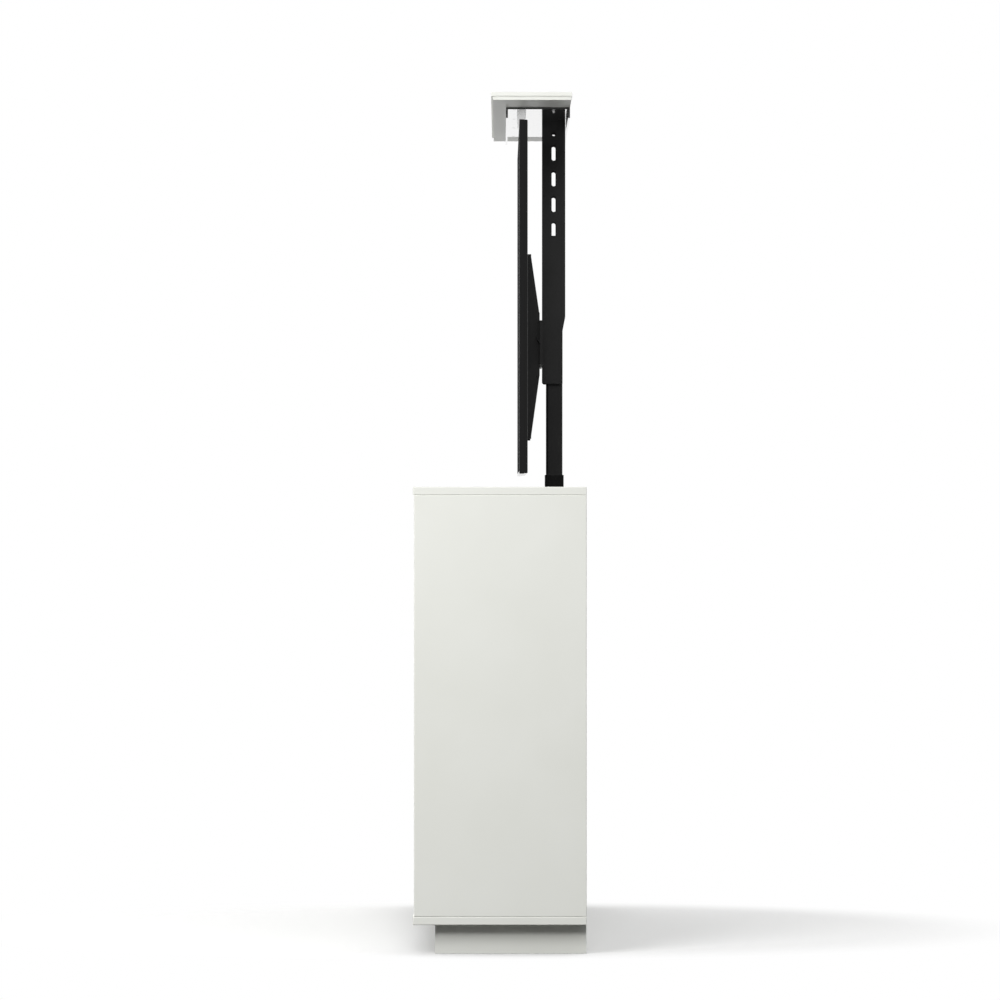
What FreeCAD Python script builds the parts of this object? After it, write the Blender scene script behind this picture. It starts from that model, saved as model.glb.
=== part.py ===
"""TV lift cabinet: a lacquered cabinet on a plinth, with a television that a
telescopic column raises through the top together with its piece of the top.

Millimetres. X runs along the front, -Y is the front, +Z is up, and the origin
is the middle of the footprint on the floor. The column is drawn extended. Each
raised piece is sketched where it lies when the lift is down, and its Placement
adds the lift's travel.
"""
import FreeCAD, Part
import os
import re

import Sketcher
from FreeCAD import Placement, Rotation, Vector

# Driving sizes: alias, millimetres, what it measures.
SIZES = (
    ("tv_width", 1450, "television, side to side"),
    ("tv_height", 824, "television, bottom to top"),
    ("tv_thickness", 19.5, "television, front to back"),
    ("tv_side_gap", 25, "television's edge to the lid's end"),
    ("tv_lid_gap", 43.4, "television's top to the lid's underside"),
    ("tv_floor_gap", 108.6, "lowered television above the cabinet's floor"),
    ("tv_show_gap", 30.8, "raised television above the cabinet's top"),
    ("tv_frame_depth", 11, "television's rim, front to back"),
    ("tv_frame_wall", 6, "television's rim, seen from the front"),
    ("tv_screen_inset", 0.4, "screen behind the rim's front edge"),
    ("tv_screen_depth", 9, "screen module's thickness"),
    ("tv_shell", 2.5, "wall of the television's rear cover"),
    ("tv_play", 0.3, "screen module inside the rim"),
    ("vesa_pitch", 400, "television's mounting holes, both ways"),
    ("boss_radius", 8, "television's mounting bosses"),
    ("cabinet_depth", 402, "top board, front to back"),
    ("lid_side_margin", 50, "lid's end to the cabinet's side"),
    ("board", 19, "thickness of the carcass boards"),
    ("edge_round", 2, "rounded edges of the lacquered boards"),
    ("front_overhang", 2.5, "top and bottom boards past the doors"),
    ("plinth_height", 70, "floor to the bottom board"),
    ("plinth_setback", 51, "plinth behind the front and the sides"),
    ("back_board", 8, "thickness of the back panels"),
    ("back_inset", 4, "back panels inside the rear edge"),
    ("panel_play", 0.3, "back panels between their neighbours"),
    ("rail_height", 80, "rear rail under the top"),
    ("service_width", 600, "removable middle back panel"),
    ("wall_hole_pitch", 1200, "wall fixing holes, apart"),
    ("wall_hole_radius", 4, "wall fixing holes"),
    ("lid_depth", 188, "lid, front to back"),
    ("lid_thickness", 18, "lid, lip and plug together"),
    ("lid_lip", 9, "lip at the lid's edge"),
    ("lid_step", 4.5, "lip past the plug, at the front and the ends"),
    ("lid_rear_step", 1.8, "lip past the plug, at the rear"),
    ("lid_play", 1.5, "lip inside the rebate, all round"),
    ("plug_play", 1, "plug inside the opening, all round"),
    ("lid_seat_gap", 0.3, "lowered lip above the rebate"),
    ("lid_rail_gap", 2, "lid in front of the rear rail"),
    ("bay_gap", 3.2, "lid behind the partition"),
    ("door_gap", 3, "shadow gap around the doors"),
    ("swing_clear", 0.5, "door's corner past its neighbour when turning"),
    ("pin_radius", 4, "door pivot pins"),
    ("pin_seat", 12, "pin inside the carcass board"),
    ("pin_reach", 14, "pin inside the door"),
    ("pin_play", 0.05, "pin inside the door's bore"),
    ("collar_radius", 8, "pin's collar between board and door"),
    ("collar_gap", 0.1, "collar to the board and to the door"),
    ("shelf_play", 1, "shelf to the boards at its ends"),
    ("shelf_clear", 1, "shelf behind the open door's edge"),
    ("shelf_pin_radius", 2.5, "shelf pins"),
    ("shelf_pin_seat", 8, "shelf pin inside its board"),
    ("shelf_pin_reach", 8, "shelf pin under the shelf"),
    ("shelf_pin_inset", 24, "shelf pin from the shelf's edges"),
    ("shelf_pin_play", 0.05, "shelf pin inside its hole and under the shelf"),
    ("shelf_pitch", 64, "rows of shelf pin holes, apart"),
    ("shelf_first", 197.5, "first row of holes above the floor board"),
    ("latch_width", 16, "push latch housing, along the front"),
    ("latch_depth", 60, "push latch housing, front to back"),
    ("latch_height", 18, "push latch housing"),
    ("latch_inset", 30, "push latch from the door's free edge"),
    ("latch_gap", 7.5, "latch housing behind the door"),
    ("latch_bore", 45, "bore in the latch housing"),
    ("plunger_radius", 4, "push latch plunger"),
    ("plunger_reach", 36, "plunger inside its housing"),
    ("plunger_play", 0.05, "plunger inside its bore"),
    ("plunger_head_radius", 6, "plunger's magnet head"),
    ("plunger_head", 4, "thickness of the plunger's head"),
    ("plunger_gap", 0.3, "plunger's head behind the door"),
    ("base_width", 220, "column's base plate, along the front"),
    ("base_depth", 92, "column's base plate, front to back"),
    ("base_plate", 8, "thickness of the base plate"),
    ("base_bolt_inset", 16, "base plate bolts from its edges"),
    ("bolt_radius", 4, "base plate bolts"),
    ("bolt_head_radius", 7.5, "base plate bolt heads, across corners, half"),
    ("bolt_head", 5.5, "thickness of the bolt heads"),
    ("bolt_reach", 15, "bolt inside the bottom board"),
    ("column_offset", 34.4, "column's axis in front of the lid's rear edge"),
    ("tube_width", 70, "inner tube, along the front"),
    ("tube_depth", 40, "inner tube, front to back"),
    ("tube_wall", 1.5, "wall of the column's tubes"),
    ("tube_round", 5, "outer corners of the column's tubes"),
    ("tube_gap_x", 1, "running gap between tubes, sideways"),
    ("tube_gap_y", 1.5, "running gap between tubes, front and back"),
    ("gear_height", 30, "gearbox in the column's foot"),
    ("gear_play", 1, "gearbox inside the outer tube"),
    ("gear_bore_depth", 22, "spindle's bearing in the gearbox"),
    ("neck_radius", 9, "gearbox neck through the tube's window"),
    ("neck_play", 1, "neck inside the window"),
    ("motor_radius", 20, "motor can"),
    ("motor_length", 110, "motor can"),
    ("motor_gap", 12, "motor can beside the outer tube"),
    ("motor_lift", 1, "motor can above the base plate"),
    ("stage_clear", 3, "lowered stage above what is under it"),
    ("end_block", 16, "nut block in each moving tube's foot"),
    ("block_play", 0.2, "nut block inside its tube"),
    ("spindle_radius", 8, "lower spindle"),
    ("sleeve_radius", 13, "hollow upper spindle"),
    ("sleeve_bore", 9, "bore of the upper spindle"),
    ("sleeve_foot_radius", 15, "upper spindle's collar in the nut block"),
    ("sleeve_foot", 6, "thickness of that collar"),
    ("spindle_play", 0.05, "spindles inside their nuts and bearings"),
    ("spindle_past", 12, "spindle's end past its raised nut"),
    ("riser_width", 108, "riser bracket, along the front"),
    ("riser_sheet", 2.5, "riser bracket's sheet"),
    ("riser_gap", 1.1, "riser's web in front of the outer tube"),
    ("riser_past", 0.6, "riser's flanges behind the outer tube"),
    ("riser_length", 639.8, "riser bracket, top to bottom"),
    ("riser_wide_end", 476, "riser's full depth, down from its top"),
    ("riser_taper_end", 510.5, "end of the riser's taper, down from its top"),
    ("riser_taper", 6.6, "narrowing of the riser's lower end"),
    ("riser_round", 6, "riser's lower front corner"),
    ("slot_width", 10.3, "riser's slots and round hole"),
    ("slot_length", 40, "riser's slots, end to end"),
    ("slot_pitch", 62.7, "riser's slots, apart"),
    ("slot_first", 74.3, "first slot's middle below the riser's top"),
    ("sight_hole_drop", 29, "round hole below the riser's top"),
    ("inner_tube_drop", 277, "inner tube's top below the riser's top"),
    ("spacer_width", 60, "spacer between riser and inner tube"),
    ("spacer_height", 110, "spacer"),
    ("spacer_drop", 10, "spacer below the inner tube's top"),
    ("spacer_clear", 8, "lowered spacer above the middle tube"),
    ("cap_clear", 1, "lowered middle tube's top above the outer tube"),
    ("channel_length", 1000, "lid channel"),
    ("channel_depth", 151.4, "lid channel, front to back"),
    ("channel_leg", 25, "lid channel's legs"),
    ("channel_sheet", 4.5, "lid channel's sheet"),
    ("mount_width", 460, "mounting plate, along the front"),
    ("mount_height", 106.4, "mounting plate"),
    ("mount_depth", 7.5, "mounting plate, front to back"),
    ("mount_sheet", 2.5, "mounting plate's sheet"),
    ("mount_start", 179.3, "mounting plate above the arms' lower ends"),
    ("mount_boss", 12, "mounting plate's pressed bosses, radius"),
    ("mount_slot_width", 8, "mounting plate's slots"),
    ("mount_slot_length", 28, "mounting plate's slots, end to end"),
    ("mount_slot_pitch", 32, "mounting plate's slots, apart"),
    ("mount_slot_inset", 12, "slots from the plate's upper and lower edges"),
    ("mount_slot_end", 150, "last slot from the plate's middle"),
    ("arm_width", 28, "television arms, along the front"),
    ("arm_depth", 31.5, "television arms, front to back"),
    ("arm_tip_depth", 11, "television arms at their ends"),
    ("arm_sheet", 2.5, "television arms' sheet"),
    ("arm_length", 446, "television arms"),
    ("arm_start", 86.8, "arms above the television's bottom"),
    ("arm_tip", 6.4, "straight end of an arm"),
    ("arm_flat_low", 152.3, "arm's full depth begins, from its lower end"),
    ("arm_flat_high", 304.8, "arm's full depth ends, from its lower end"),
    ("arm_step", 1, "small step at the upper end of the full depth"),
    ("arm_low_step", 0.3, "small step at its lower end"),
    ("hook_height", 230.5, "hook slot's mouth above the arm's lower end"),
    ("hook_rise", 13, "hook slot's slant"),
    ("hook_depth", 9, "hook slot into the arm"),
    ("hook_width", 4, "hook slot's mouth, upright"),
    ("hook_rail", 2.8, "hook rail's thickness, upright"),
    ("hook_reach", 7, "hook rail in front of its plate"),
    ("lock_low", 144.4, "locking slot above the arm's lower end"),
    ("lock_height", 7.5, "locking slot, upright"),
    ("lock_width", 2.5, "locking slot, front to back"),
    ("lock_slant", 3.5, "locking slot's slant"),
    ("lock_back", 3.5, "locking slot's lower end in front of the arm's full depth"),
    ("screw_radius", 4, "bracket screws"),
    ("screw_head_radius", 7.5, "bracket screws' countersunk heads"),
    ("screw_head", 2.4, "depth of the countersink"),
    ("bracket_screw_x", 25, "bracket screws from the middle"),
    ("bracket_screw_inset", 22, "bracket screws from the plate's edges"),
    ("small_screw_radius", 2, "lid screws and back panel screws"),
    ("small_head_radius", 4, "heads of the back panel screws"),
    ("small_head", 2, "thickness of those heads"),
    ("small_reach", 11, "screw inside the wood"),
    ("lid_screw_inset", 20, "lid screws from the channel's ends and edges"),
    ("lid_head_radius", 3.8, "lid screws' countersunk heads"),
    ("lid_head", 2.2, "depth of their countersink"),
    ("lid_screw_count", 4, "lid screws in each of two rows"),
    ("tv_screw_radius", 3, "television's screws"),
    ("tv_screw_head_radius", 5.5, "heads of the television's screws"),
    ("tv_screw_head", 3.3, "thickness of those heads"),
    ("tv_screw_reach", 5, "screw inside the television"),
    ("control_width", 200, "control box"),
    ("control_depth", 68, "control box"),
    ("control_height", 42, "control box"),
    ("control_x", 230, "control box from the middle"),
    ("outlet_x", -150, "cable outlet from the middle"),
    ("outlet_height", 120, "cable outlet and power inlet above the floor board"),
    ("outlet_bore", 25, "cable outlet's bore, radius"),
    ("outlet_wall", 4, "cable outlet's sleeve"),
    ("outlet_rim", 6, "cable outlet's rim past the sleeve"),
    ("outlet_rim_depth", 2, "cable outlet's rim on the panel"),
    ("outlet_past", 2, "cable outlet's sleeve past the panel inside"),
    ("fit_play", 0.2, "outlet and inlet in their cut-outs"),
    ("inlet_x", 150, "power inlet from the middle"),
    ("inlet_width", 47, "power inlet's body"),
    ("inlet_height", 27, "power inlet's body"),
    ("inlet_depth", 26, "power inlet's body behind its flange"),
    ("inlet_flange", 4, "power inlet's flange past its body"),
    ("inlet_flange_depth", 2.5, "power inlet's flange"),
    ("inlet_wall", 3.5, "wall around the inlet's socket"),
    ("inlet_socket", 17, "depth of the inlet's socket"),
    ("vent_length", 90, "ventilation slots"),
    ("vent_width", 5, "ventilation slots"),
    ("vent_pitch", 14, "ventilation slots, apart"),
    ("vent_count", 9, "ventilation slots in a column"),
    ("vent_height", 560, "lowest ventilation slot above the floor board"),
)

# Places worked out from the driving sizes. Heights are with the lift down.
LAYOUT = (
    ("lid_width", "tv_width + 2 * tv_side_gap"),
    ("half_width", "lid_width / 2 + lid_side_margin"),
    ("inner_half", "half_width - board"),
    ("front", "-cabinet_depth / 2"),
    ("rear", "cabinet_depth / 2"),
    ("carcass_front", "front + front_overhang"),
    ("floor_top", "plinth_height + board"),
    ("tv_bottom", "floor_top + tv_floor_gap"),
    ("tv_top", "tv_bottom + tv_height"),
    ("plug_under", "tv_top + tv_lid_gap"),
    ("cabinet_height", "plug_under + lid_thickness"),
    ("top_under", "cabinet_height - board"),
    ("lift_total", "cabinet_height + tv_show_gap - tv_bottom"),
    ("stage_travel", "lift_total / 2"),
    ("back_face", "rear - back_inset - back_board"),
    ("panel_rear", "back_face + back_board"),
    ("rail_front", "back_face - board"),
    ("lid_rear", "rail_front - lid_rail_gap"),
    ("lid_front", "lid_rear - lid_depth"),
    ("plug_rear", "lid_rear - lid_rear_step"),
    ("plug_front", "lid_front + lid_step"),
    ("plug_half", "lid_width / 2 - lid_step"),
    ("partition_rear", "lid_front - bay_gap"),
    ("partition_front", "partition_rear - board"),
    ("door_back", "carcass_front + board"),
    ("door_low", "floor_top + door_gap"),
    ("door_high", "top_under - door_gap"),
    ("door_width", "(inner_half - board / 2 - 3 * door_gap) / 2"),
    ("pivot_y", "carcass_front + board / 2"),
    ("pivot_room", "door_gap - swing_clear"),
    ("pivot_inset", "((board / 2) ^ 2 - pivot_room ^ 2) / (2 * pivot_room) + door_gap"),
    ("pin_bore", "pin_radius + pin_play"),
    ("shelf_front", "pivot_y + pivot_inset + door_gap + shelf_clear"),
    ("shelf_rear", "partition_front - shelf_play"),
    ("latch_front", "door_back + latch_gap"),
    ("latch_z", "top_under - latch_height / 2"),
    ("plunger_bore", "plunger_radius + plunger_play"),
    ("column_y", "lid_rear - column_offset"),
    ("foot", "floor_top + base_plate"),
    ("middle_width", "tube_width + 2 * (tube_wall + tube_gap_x)"),
    ("middle_depth", "tube_depth + 2 * (tube_wall + tube_gap_y)"),
    ("outer_width", "middle_width + 2 * (tube_wall + tube_gap_x)"),
    ("outer_depth", "middle_depth + 2 * (tube_wall + tube_gap_y)"),
    ("riser_top", "plug_under - channel_sheet"),
    ("riser_bottom", "riser_top - riser_length"),
    ("web_inner", "column_y - outer_depth / 2 - riser_gap"),
    ("riser_front", "web_inner - riser_sheet"),
    ("riser_rear", "column_y + outer_depth / 2 + riser_past"),
    ("riser_middle", "(riser_front + riser_rear) / 2"),
    ("inner_top", "riser_top - inner_tube_drop"),
    ("spacer_top", "inner_top - spacer_drop"),
    ("spacer_bottom", "spacer_top - spacer_height"),
    ("middle_top", "spacer_bottom - spacer_clear"),
    ("outer_top", "middle_top - cap_clear"),
    ("gear_top", "foot + gear_height"),
    ("middle_bottom", "gear_top + stage_clear"),
    ("inner_bottom", "middle_bottom + end_block + stage_clear"),
    ("spindle_bottom", "gear_top - gear_bore_depth"),
    ("spindle_top", "middle_bottom + stage_travel + end_block + spindle_past"),
    ("sleeve_bottom", "middle_bottom + end_block / 2"),
    ("sleeve_top", "inner_bottom + stage_travel + end_block + spindle_past"),
    ("bearing_bore", "spindle_radius + spindle_play"),
    ("nut_bore", "sleeve_radius + spindle_play"),
    ("foot_bore", "sleeve_foot_radius + spindle_play"),
    ("channel_front", "plug_rear - channel_depth"),
    ("mount_front", "riser_front - mount_depth"),
    ("tv_back", "mount_front - arm_depth"),
    ("tv_front", "tv_back - tv_thickness"),
    ("arm_low", "tv_bottom + arm_start"),
    ("mount_low", "arm_low + mount_start"),
    ("vesa_low", "arm_low + (arm_length - vesa_pitch) / 2"),
    ("motor_z", "foot + motor_radius + motor_lift"),
    ("post_low", "floor_top"),
    ("post_high", "top_under - rail_height"),
    ("outlet_z", "floor_top + outlet_height"),
    ("outlet_outer", "outlet_bore + outlet_wall"),
    ("wall_hole_z", "top_under - rail_height / 2"),
)

DOORS = 4
SHELF_ROWS = 9
SHELF_AT_ROW = {"lower": 2, "upper": 7}
POST_SCREW_ROWS = 3
SIDES = {"left": -1, "right": 1}

doc = FreeCAD.newDocument("tv_lift_cabinet")
SHEET_OF = {}
GROUP_PIECES = []


def bound(expression):
    """The expression with each alias named with its sheet."""
    return re.sub(
        r"[a-z_][a-z0-9_]*",
        lambda word: f"{SHEET_OF[word[0]]}.{word[0]}" if word[0] in SHEET_OF else word[0],
        expression,
    )


def fill_sheets():
    """Write the driving sizes as plain numbers, and the layout as formulas."""
    sizes = doc.addObject("Spreadsheet::Sheet", "Sizes")
    for row, (alias, size, meaning) in enumerate(SIZES, start=1):
        sizes.set(f"A{row}", alias)
        sizes.set(f"B{row}", str(size))
        sizes.set(f"C{row}", meaning)
        sizes.setAlias(f"B{row}", alias)
        SHEET_OF[alias] = "Sizes"
    doc.recompute()
    layout = doc.addObject("Spreadsheet::Sheet", "Layout")
    for row, (alias, formula) in enumerate(LAYOUT, start=1):
        layout.set(f"A{row}", alias)
        layout.set(f"B{row}", "=" + bound(formula).replace("Layout.", ""))
        layout.setAlias(f"B{row}", alias)
        SHEET_OF[alias] = "Layout"
    doc.recompute()
    return sizes


sheet = fill_sheets()


def number(expression):
    """The expression's present value in millimetres."""
    result = sheet.evalExpression(bound(expression))
    return float(getattr(result, "Value", result))


def bind(thing, **expressions):
    """Bind properties of a document object to expressions."""
    for name, expression in expressions.items():
        thing.setExpression(name, bound(expression))
    return thing


def place(thing, x="0", y="0", z="0", turn=None):
    """Bind an object's place; turn is an optional (axis, degrees)."""
    if turn:
        thing.Placement = Placement(Vector(), Rotation(*turn))
    for axis, expression in zip("xyz", (x, y, z)):
        thing.setExpression(f"Placement.Base.{axis}", bound(expression))
    return thing


# ---------------------------------------------------------------- bodies

def new_body(label, x="0", y="0", z="0"):
    """A part design body at a bound place."""
    body = doc.addObject("PartDesign::Body", label)
    body.Label = label
    return place(body, x, y, z)


def origin_feature(body, role):
    """One of the body's own origin planes or axes, such as XY_Plane or Z_Axis."""
    return next(f for f in body.Origin.OriginFeatures if f.Role == role)


def new_sketch(body, plane, offset="0"):
    """A sketch on XY (normal +Z), XZ (normal -Y) or YZ (normal +X), moved along the normal."""
    sketch = body.newObject("Sketcher::SketchObject", f"{body.Name}_sketch")
    sketch.AttachmentSupport = [(origin_feature(body, f"{plane}_Plane"), "")]
    sketch.MapMode = "FlatFace"
    sketch.setExpression("AttachmentOffset.Base.z", bound(offset))
    return sketch


def pin_point(sketch, line, end, x, y):
    """Fix one point of the sketch at bound coordinates."""
    for kind, expression in (("DistanceX", x), ("DistanceY", y)):
        index = sketch.addConstraint(
            Sketcher.Constraint(kind, -1, 1, line, end, number(expression))
        )
        sketch.setExpression(f"Constraints[{index}]", bound(expression))


def outline(sketch, points):
    """A closed polygon through bound points."""
    corners = [Vector(number(x), number(y), 0) for x, y in points]
    first = sketch.GeometryCount
    count = len(points)
    for index in range(count):
        sketch.addGeometry(Part.LineSegment(corners[index], corners[(index + 1) % count]), False)
    for index, (x, y) in enumerate(points):
        after = first + (index + 1) % count
        sketch.addConstraint(Sketcher.Constraint("Coincident", first + index, 2, after, 1))
        pin_point(sketch, first + index, 1, x, y)
    return sketch


def rectangle(sketch, x0, y0, x1, y1):
    """An upright rectangle between two bound corners."""
    return outline(sketch, ((x0, y0), (x1, y0), (x1, y1), (x0, y1)))


def circle(sketch, x, y, radius):
    """A circle with a bound centre and radius."""
    centre = Vector(number(x), number(y), 0)
    line = sketch.addGeometry(Part.Circle(centre, Vector(0, 0, 1), number(radius)), False)
    pin_point(sketch, line, 3, x, y)
    index = sketch.addConstraint(Sketcher.Constraint("Radius", line, number(radius)))
    sketch.setExpression(f"Constraints[{index}]", bound(radius))
    return sketch


def pad(body, sketch, length, backwards=False):
    """Add the sketch's area, along its normal or backwards."""
    feature = body.newObject("PartDesign::Pad", f"{body.Name}_pad")
    feature.Profile = sketch
    feature.Reversed = backwards
    bind(feature, Length=length)
    doc.recompute()
    return feature


def pocket(body, sketch, depth=None, forwards=False):
    """Cut the sketch's area against its normal, forwards along it, or right through."""
    before = body.Shape.Volume
    feature = body.newObject("PartDesign::Pocket", f"{body.Name}_pocket")
    feature.Profile = sketch
    if depth is None:
        feature.Type = "ThroughAll"
        feature.Midplane = True
    else:
        feature.Reversed = forwards
        bind(feature, Length=depth)
    doc.recompute()
    if not body.Shape.Volume < before:
        raise RuntimeError(f"{feature.Label} cuts nothing")
    return feature


def repeat(body, feature, axis, length, count):
    """Repeat a feature along one of the body's axes, count times over the length."""
    pattern = body.newObject("PartDesign::LinearPattern", f"{body.Name}_pattern")
    pattern.Originals = [feature]
    pattern.Direction = (origin_feature(body, f"{axis}_Axis"), [""])
    pattern.Occurrences = count
    bind(pattern, Length=length)
    body.Tip = pattern
    doc.recompute()
    return pattern


def soften(body, radius, keep, kind="Fillet"):
    """Round, or chamfer, each edge of the body for which keep(middle, edge) is true."""
    base = body.Tip
    names = [
        f"Edge{index}"
        for index, edge in enumerate(base.Shape.Edges, start=1)
        if keep(edge.BoundBox.Center, edge)
    ]
    if not names:
        raise RuntimeError(f"{body.Label} has no edge to soften")
    feature = body.newObject(f"PartDesign::{kind}", f"{body.Name}_{kind.lower()}")
    feature.Base = (base, names)
    bind(feature, **{"Radius" if kind == "Fillet" else "Size": radius})
    doc.recompute()
    return feature


def near(a, b):
    """True where two lengths agree."""
    return abs(a - b) < 1e-4


def rim(body, axis, side):
    """A test for the edges on the low (-1) or high (+1) face of the body across an axis."""
    box = body.Tip.Shape.BoundBox
    low, high = getattr(box, f"{axis}Min"), getattr(box, f"{axis}Max")
    level = low if side < 0 else high
    name = axis.lower()

    def on_rim(middle, edge):
        flat = getattr(edge.BoundBox, f"{axis}Length") < 1e-4
        across = [other for other in "XYZ" if other != axis]
        outside = any(
            near(getattr(middle, other.lower()), getattr(box, f"{other}{end}"))
            for other in across
            for end in ("Min", "Max")
        )
        return flat and near(getattr(middle, name), level) and outside

    return on_rim


def along(axis):
    """A test for straight edges along an axis."""
    others = [other for other in "XYZ" if other != axis]

    def runs_along(middle, edge):
        return all(getattr(edge.BoundBox, f"{other}Length") < 1e-4 for other in others)

    return runs_along


def either(*tests):
    """A test that passes where any of the tests does."""
    return lambda middle, edge: any(test(middle, edge) for test in tests)


def board_flat(label, x0, y0, x1, y1, z, thickness):
    """A flat board whose plan is a rectangle and whose underside is at z."""
    body = new_body(label, z=z)
    pad(body, rectangle(new_sketch(body, "XY"), x0, y0, x1, y1), thickness)
    return body


# ---------------------------------------------------------------- groups of fasteners

def cylinder(radius, height, x, y, z, turn=None):
    """A Part cylinder; its axis runs up from its place unless it is turned."""
    piece = doc.addObject("Part::Cylinder", "cylinder")
    bind(piece, Radius=radius, Height=height)
    return place(piece, x, y, z, turn)


def fused(*pieces):
    """Part fusion of pieces that touch."""
    whole = doc.addObject("Part::MultiFuse", "fused")
    whole.Shapes = list(pieces)
    return whole


def group(label, pieces):
    """One node that holds identical separate pieces."""
    node = doc.addObject("Part::Compound", label)
    node.Label = label
    node.Links = list(pieces)
    GROUP_PIECES.append(node)
    return node


ALONG_FRONT = (Vector(1, 0, 0), 90)    # a cylinder that runs from its place towards the front
ALONG_REAR = (Vector(1, 0, 0), -90)    # and towards the rear
ALONG_RIGHT = (Vector(0, 1, 0), 90)
ALONG_LEFT = (Vector(0, 1, 0), -90)


# ---------------------------------------------------------------- carcass

def pivots():
    """Each door's number, the side its hinge is on, and its pivot's X."""
    edge = "inner_half - door_gap - pivot_inset"
    inner = "board / 2 + door_gap + pivot_inset"
    return (
        (1, -1, f"-({edge})"),
        (2, 1, f"-({inner})"),
        (3, -1, inner),
        (4, 1, edge),
    )


def base_bolts():
    """Plan places of the four bolts that hold the base plate."""
    x = "(base_width / 2 - base_bolt_inset)"
    y = "(base_depth / 2 - base_bolt_inset)"
    return [(f"{a} * {x}", f"column_y + {b} * {y}") for a in (-1, 1) for b in (-1, 1)]


def bottom_panel():
    """Bottom board with the doors' pivot seats and the base plate's bolt holes."""
    body = board_flat("bottom_panel", "-half_width", "front", "half_width", "rear",
                      "plinth_height", "board")
    soften(body, "edge_round", either(rim(body, "Z", 1), rim(body, "Z", -1), along("Z")))
    seats = new_sketch(body, "XY", "board")
    for _, _, x in pivots():
        circle(seats, x, "pivot_y", "pin_radius")
    pocket(body, seats, "pin_seat")
    bolts = new_sketch(body, "XY", "board")
    for x, y in base_bolts():
        circle(bolts, x, y, "bolt_radius")
    pocket(body, bolts, "bolt_reach")


def top_panel():
    """Top board with the rebated opening that the lid closes, and pivot seats below."""
    body = board_flat("top_panel", "-half_width", "front", "half_width", "rear",
                      "top_under", "board")
    soften(body, "edge_round", either(rim(body, "Z", 1), rim(body, "Z", -1), along("Z")))
    opening = rectangle(new_sketch(body, "XY"), "-(plug_half + plug_play)", "plug_front - plug_play",
                        "plug_half + plug_play", "plug_rear + plug_play")
    pocket(body, opening)
    rebate = rectangle(new_sketch(body, "XY", "board"), "-(lid_width / 2 + lid_play)",
                       "lid_front - lid_play", "lid_width / 2 + lid_play", "lid_rear + lid_play")
    pocket(body, rebate, "lid_lip + lid_seat_gap")
    seats = new_sketch(body, "XY")
    for _, _, x in pivots():
        circle(seats, x, "pivot_y", "pin_radius")
    pocket(body, seats, "pin_seat", forwards=True)


def shelf_holes(body, offset, forwards):
    """Two columns of shelf pin holes in one face of an upright board."""
    holes = new_sketch(body, "YZ", offset)
    for y in ("shelf_front + shelf_pin_inset", "shelf_rear - shelf_pin_inset"):
        circle(holes, y, "floor_top + shelf_first", "shelf_pin_radius + shelf_pin_play")
    column = pocket(body, holes, "shelf_pin_seat + shelf_pin_play", forwards=forwards)
    repeat(body, column, "Z", f"shelf_pitch * {SHELF_ROWS - 1}", SHELF_ROWS)


def side_panel(side, sign):
    """Side board between the top and bottom boards."""
    body = new_body(f"side_panel_{side}", x="inner_half" if sign > 0 else "-half_width")
    profile = rectangle(new_sketch(body, "YZ"), "carcass_front", "floor_top", "rear", "top_under")
    pad(body, profile, "board")
    soften(body, "edge_round", rim(body, "X", sign))
    shelf_holes(body, "0" if sign > 0 else "board", forwards=sign > 0)


def partition_panel():
    """Upright board between the front compartments and the lift bay."""
    board_flat("partition_panel", "-inner_half", "partition_front", "inner_half",
               "partition_rear", "floor_top", "top_under - floor_top")


def centre_divider():
    """Upright board between the two front compartments."""
    body = board_flat("centre_divider", "-board / 2", "carcass_front", "board / 2",
                      "partition_front", "floor_top", "top_under - floor_top")
    soften(body, "edge_round / 2", lambda middle, edge: along("Z")(middle, edge)
           and near(middle.y, number("carcass_front")))
    for offset, forwards in (("board / 2", False), ("-board / 2", True)):
        holes = new_sketch(body, "YZ", offset)
        for y in ("shelf_front + shelf_pin_inset", "shelf_rear - shelf_pin_inset"):
            circle(holes, y, "shelf_first", "shelf_pin_radius + shelf_pin_play")
        column = pocket(body, holes, "shelf_pin_seat + shelf_pin_play", forwards=forwards)
        repeat(body, column, "Z", f"shelf_pitch * {SHELF_ROWS - 1}", SHELF_ROWS)


def shelf_under(level):
    """Height of a shelf's underside above the floor, over its pins."""
    row = SHELF_AT_ROW[level]
    return f"floor_top + shelf_first + {row} * shelf_pitch + shelf_pin_radius + shelf_pin_play"


def shelf(side, sign, level):
    """Loose shelf on four pins."""
    ends = ["board / 2 + shelf_play", "inner_half - shelf_play"]
    x0, x1 = ends if sign > 0 else [f"-({end})" for end in reversed(ends)]
    body = board_flat(f"shelf_{side}_{level}", x0, "shelf_front", x1, "shelf_rear",
                      shelf_under(level), "board")
    soften(body, "edge_round / 2", lambda middle, edge: along("X")(middle, edge)
           and near(middle.y, number("shelf_front")))


def shelf_pins():
    """Four pins under each shelf, half of each in its board."""
    length = "shelf_pin_seat + shelf_pin_reach"
    pins = []
    for level, row in SHELF_AT_ROW.items():
        for y in ("shelf_front + shelf_pin_inset", "shelf_rear - shelf_pin_inset"):
            for sign in SIDES.values():
                for face, turn in (("inner_half + shelf_pin_seat", ALONG_LEFT),
                                   ("board / 2 - shelf_pin_seat", ALONG_RIGHT)):
                    if sign < 0:
                        face = f"-({face})"
                        turn = ALONG_RIGHT if turn is ALONG_LEFT else ALONG_LEFT
                    height = f"floor_top + shelf_first + {row} * shelf_pitch"
                    pins.append(cylinder("shelf_pin_radius", length, face, y, height, turn))
    group("shelf_pins", pins)


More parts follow.
